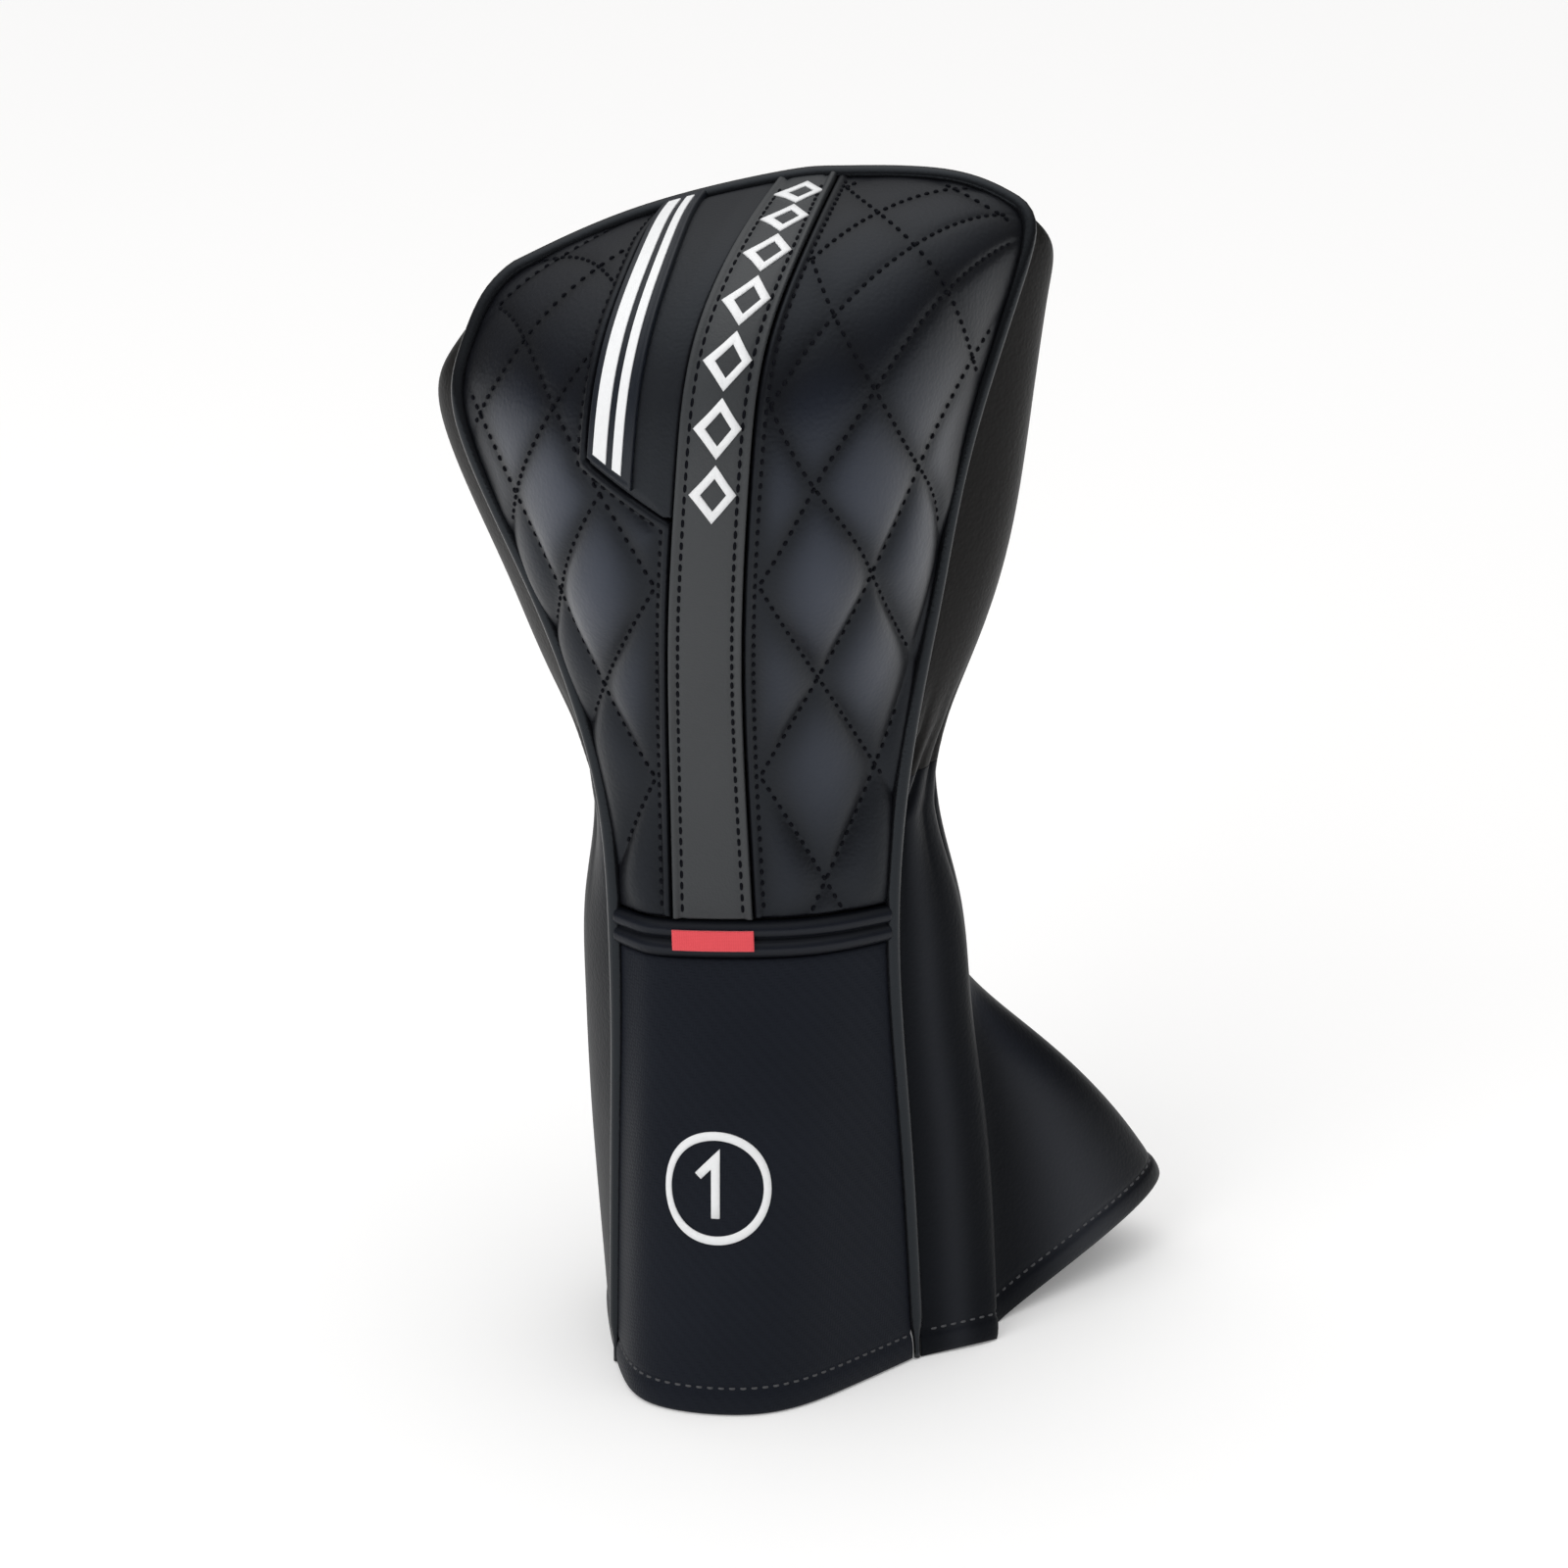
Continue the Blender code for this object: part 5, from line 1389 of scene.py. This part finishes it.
piping_v = np.linspace(float(FRONT.up_by(0, 0, GAP)), 1, 200)
piping_u = np.linspace(0, 1, 100)[1:-1]
piping_route = np.concatenate([
    FRONT.at(0, piping_v),
    FRONT.at(piping_u, 1),
    FRONT.at(1, piping_v)[::-1],
])
piping_length = lengths_along(piping_route)
piping_places = np.linspace(0, piping_length[-1], int(piping_length[-1] / PIPING_STEP))
piping_path = np.stack([np.interp(piping_places, piping_length, line) for line in piping_route.T], axis=1)
piping_leather = leather("piping_leather", (0.0040, 0.0042, 0.0050), (0.0080, 0.0084, 0.0100), roughness=0.24,
                         gloss=0.32, grain=0.0008, relief=0.00008, tint=(0.8, 0.9, 1.0))
piping_full = easing(piping_path[:, 2], *PIPING_TAPER)
piping_radius = PIPING_END_RADIUS + (PIPING_RADIUS - PIPING_END_RADIUS) * piping_full
piping = cord_tube("piping_cord", piping_path, piping_radius, PIPING_SIDES, piping_leather)
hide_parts("piping")
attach(piping, "cover")


# Studio
# A plain pale floor under soft light from above, and the camera at the photograph's angle.
# The floor looks whiter than it lights: the camera and reflections see a little glow in its paint.

FLOOR_GLOW = 0.18
FLOOR_TONE = 0.92
FLOOR_HALF = 8
FLOOR_DROP = 0.0002
SKY_LOW = (0.08, 0.08, 0.08, 1)
SKY_TOP = (1.76, 1.75, 1.74, 1)
SKY_FALL = 2.5
KEY_PLACE = (-1.2, -1.5, 1.2)
KEY_AIM = (0, 0, 0.2)
KEY_SIZE = 1.6
KEY_POWER = 17
PICTURE_PIXELS = 1600
FOCAL_PIXELS = 3791
SHIFT_PIXELS = 9.8
SENSOR = 36
CAMERA_ELEVATION = np.radians(20)
CAMERA_DISTANCE = 1.0
CAMERA_TARGET = np.array([-0.0104, -0.0178, 0.165])

floor_mesh = bpy.data.meshes.new("floor")
floor_corners = [(x * FLOOR_HALF, y * FLOOR_HALF, 0) for x, y in ((-1, -1), (1, -1), (1, 1), (-1, 1))]
floor_mesh.from_pydata(floor_corners, [], [(0, 1, 2, 3)])
floor = bpy.data.objects.new("floor", floor_mesh)
bpy.context.scene.collection.objects.link(floor)
floor_paint, shade = start_material("floor_paint")
seen = shade.node("ShaderNodeLightPath", output="Is Camera Ray")
for ray in ("Is Glossy Ray", "Is Transmission Ray"):
    seen = shade.math("MAXIMUM", seen, shade.node("ShaderNodeLightPath", output=ray))
glow = shade.mix(seen, (0, 0, 0, 1), (FLOOR_GLOW, FLOOR_GLOW, FLOOR_GLOW, 1))
set_surface(floor_paint, Base_Color=(FLOOR_TONE, FLOOR_TONE, FLOOR_TONE, 1), Roughness=0.9,
            Specular_IOR_Level=0.1, Emission_Color=glow, Emission_Strength=1.0)
floor_mesh.materials.append(floor_paint)
floor.location.z = -FLOOR_DROP

scene = bpy.context.scene
scene.view_settings.view_transform = "Standard"
world = bpy.data.worlds.new("studio")
world.use_nodes = True
scene.world = world
sky = Shade(world.node_tree)
direction = sky.node("ShaderNodeTexCoord", output="Generated")
rise = sky.node("ShaderNodeSeparateXYZ", None, {"Vector": direction}, output="Z")
overhead = sky.math("POWER", sky.math("MAXIMUM", rise, 0.0), SKY_FALL)
backdrop = sky.mix(overhead, SKY_LOW, SKY_TOP)
world.node_tree.links.new(backdrop.socket, world.node_tree.nodes["Background"].inputs["Color"])

key = bpy.data.lights.new("key", "AREA")
key.shape = "DISK"
key.size = KEY_SIZE
key.energy = KEY_POWER
key_light = bpy.data.objects.new("key", key)
key_light.location = KEY_PLACE
key_light.visible_glossy = False
scene.collection.objects.link(key_light)

camera = bpy.data.cameras.new("camera")
camera.sensor_width = SENSOR
camera.lens = SENSOR * FOCAL_PIXELS / PICTURE_PIXELS
camera.shift_y = SHIFT_PIXELS / PICTURE_PIXELS
camera_object = bpy.data.objects.new("camera", camera)
back = np.array([0, -np.cos(CAMERA_ELEVATION), np.sin(CAMERA_ELEVATION)])
camera_object.location = CAMERA_TARGET + back * CAMERA_DISTANCE
camera_object.rotation_euler = (np.pi / 2 - CAMERA_ELEVATION, 0, 0)
scene.collection.objects.link(camera_object)
scene.camera = camera_object
aim = camera_object.location.copy()
aim[:] = KEY_AIM
key_light.rotation_euler = (aim - key_light.location).to_track_quat("-Z", "Y").to_euler()
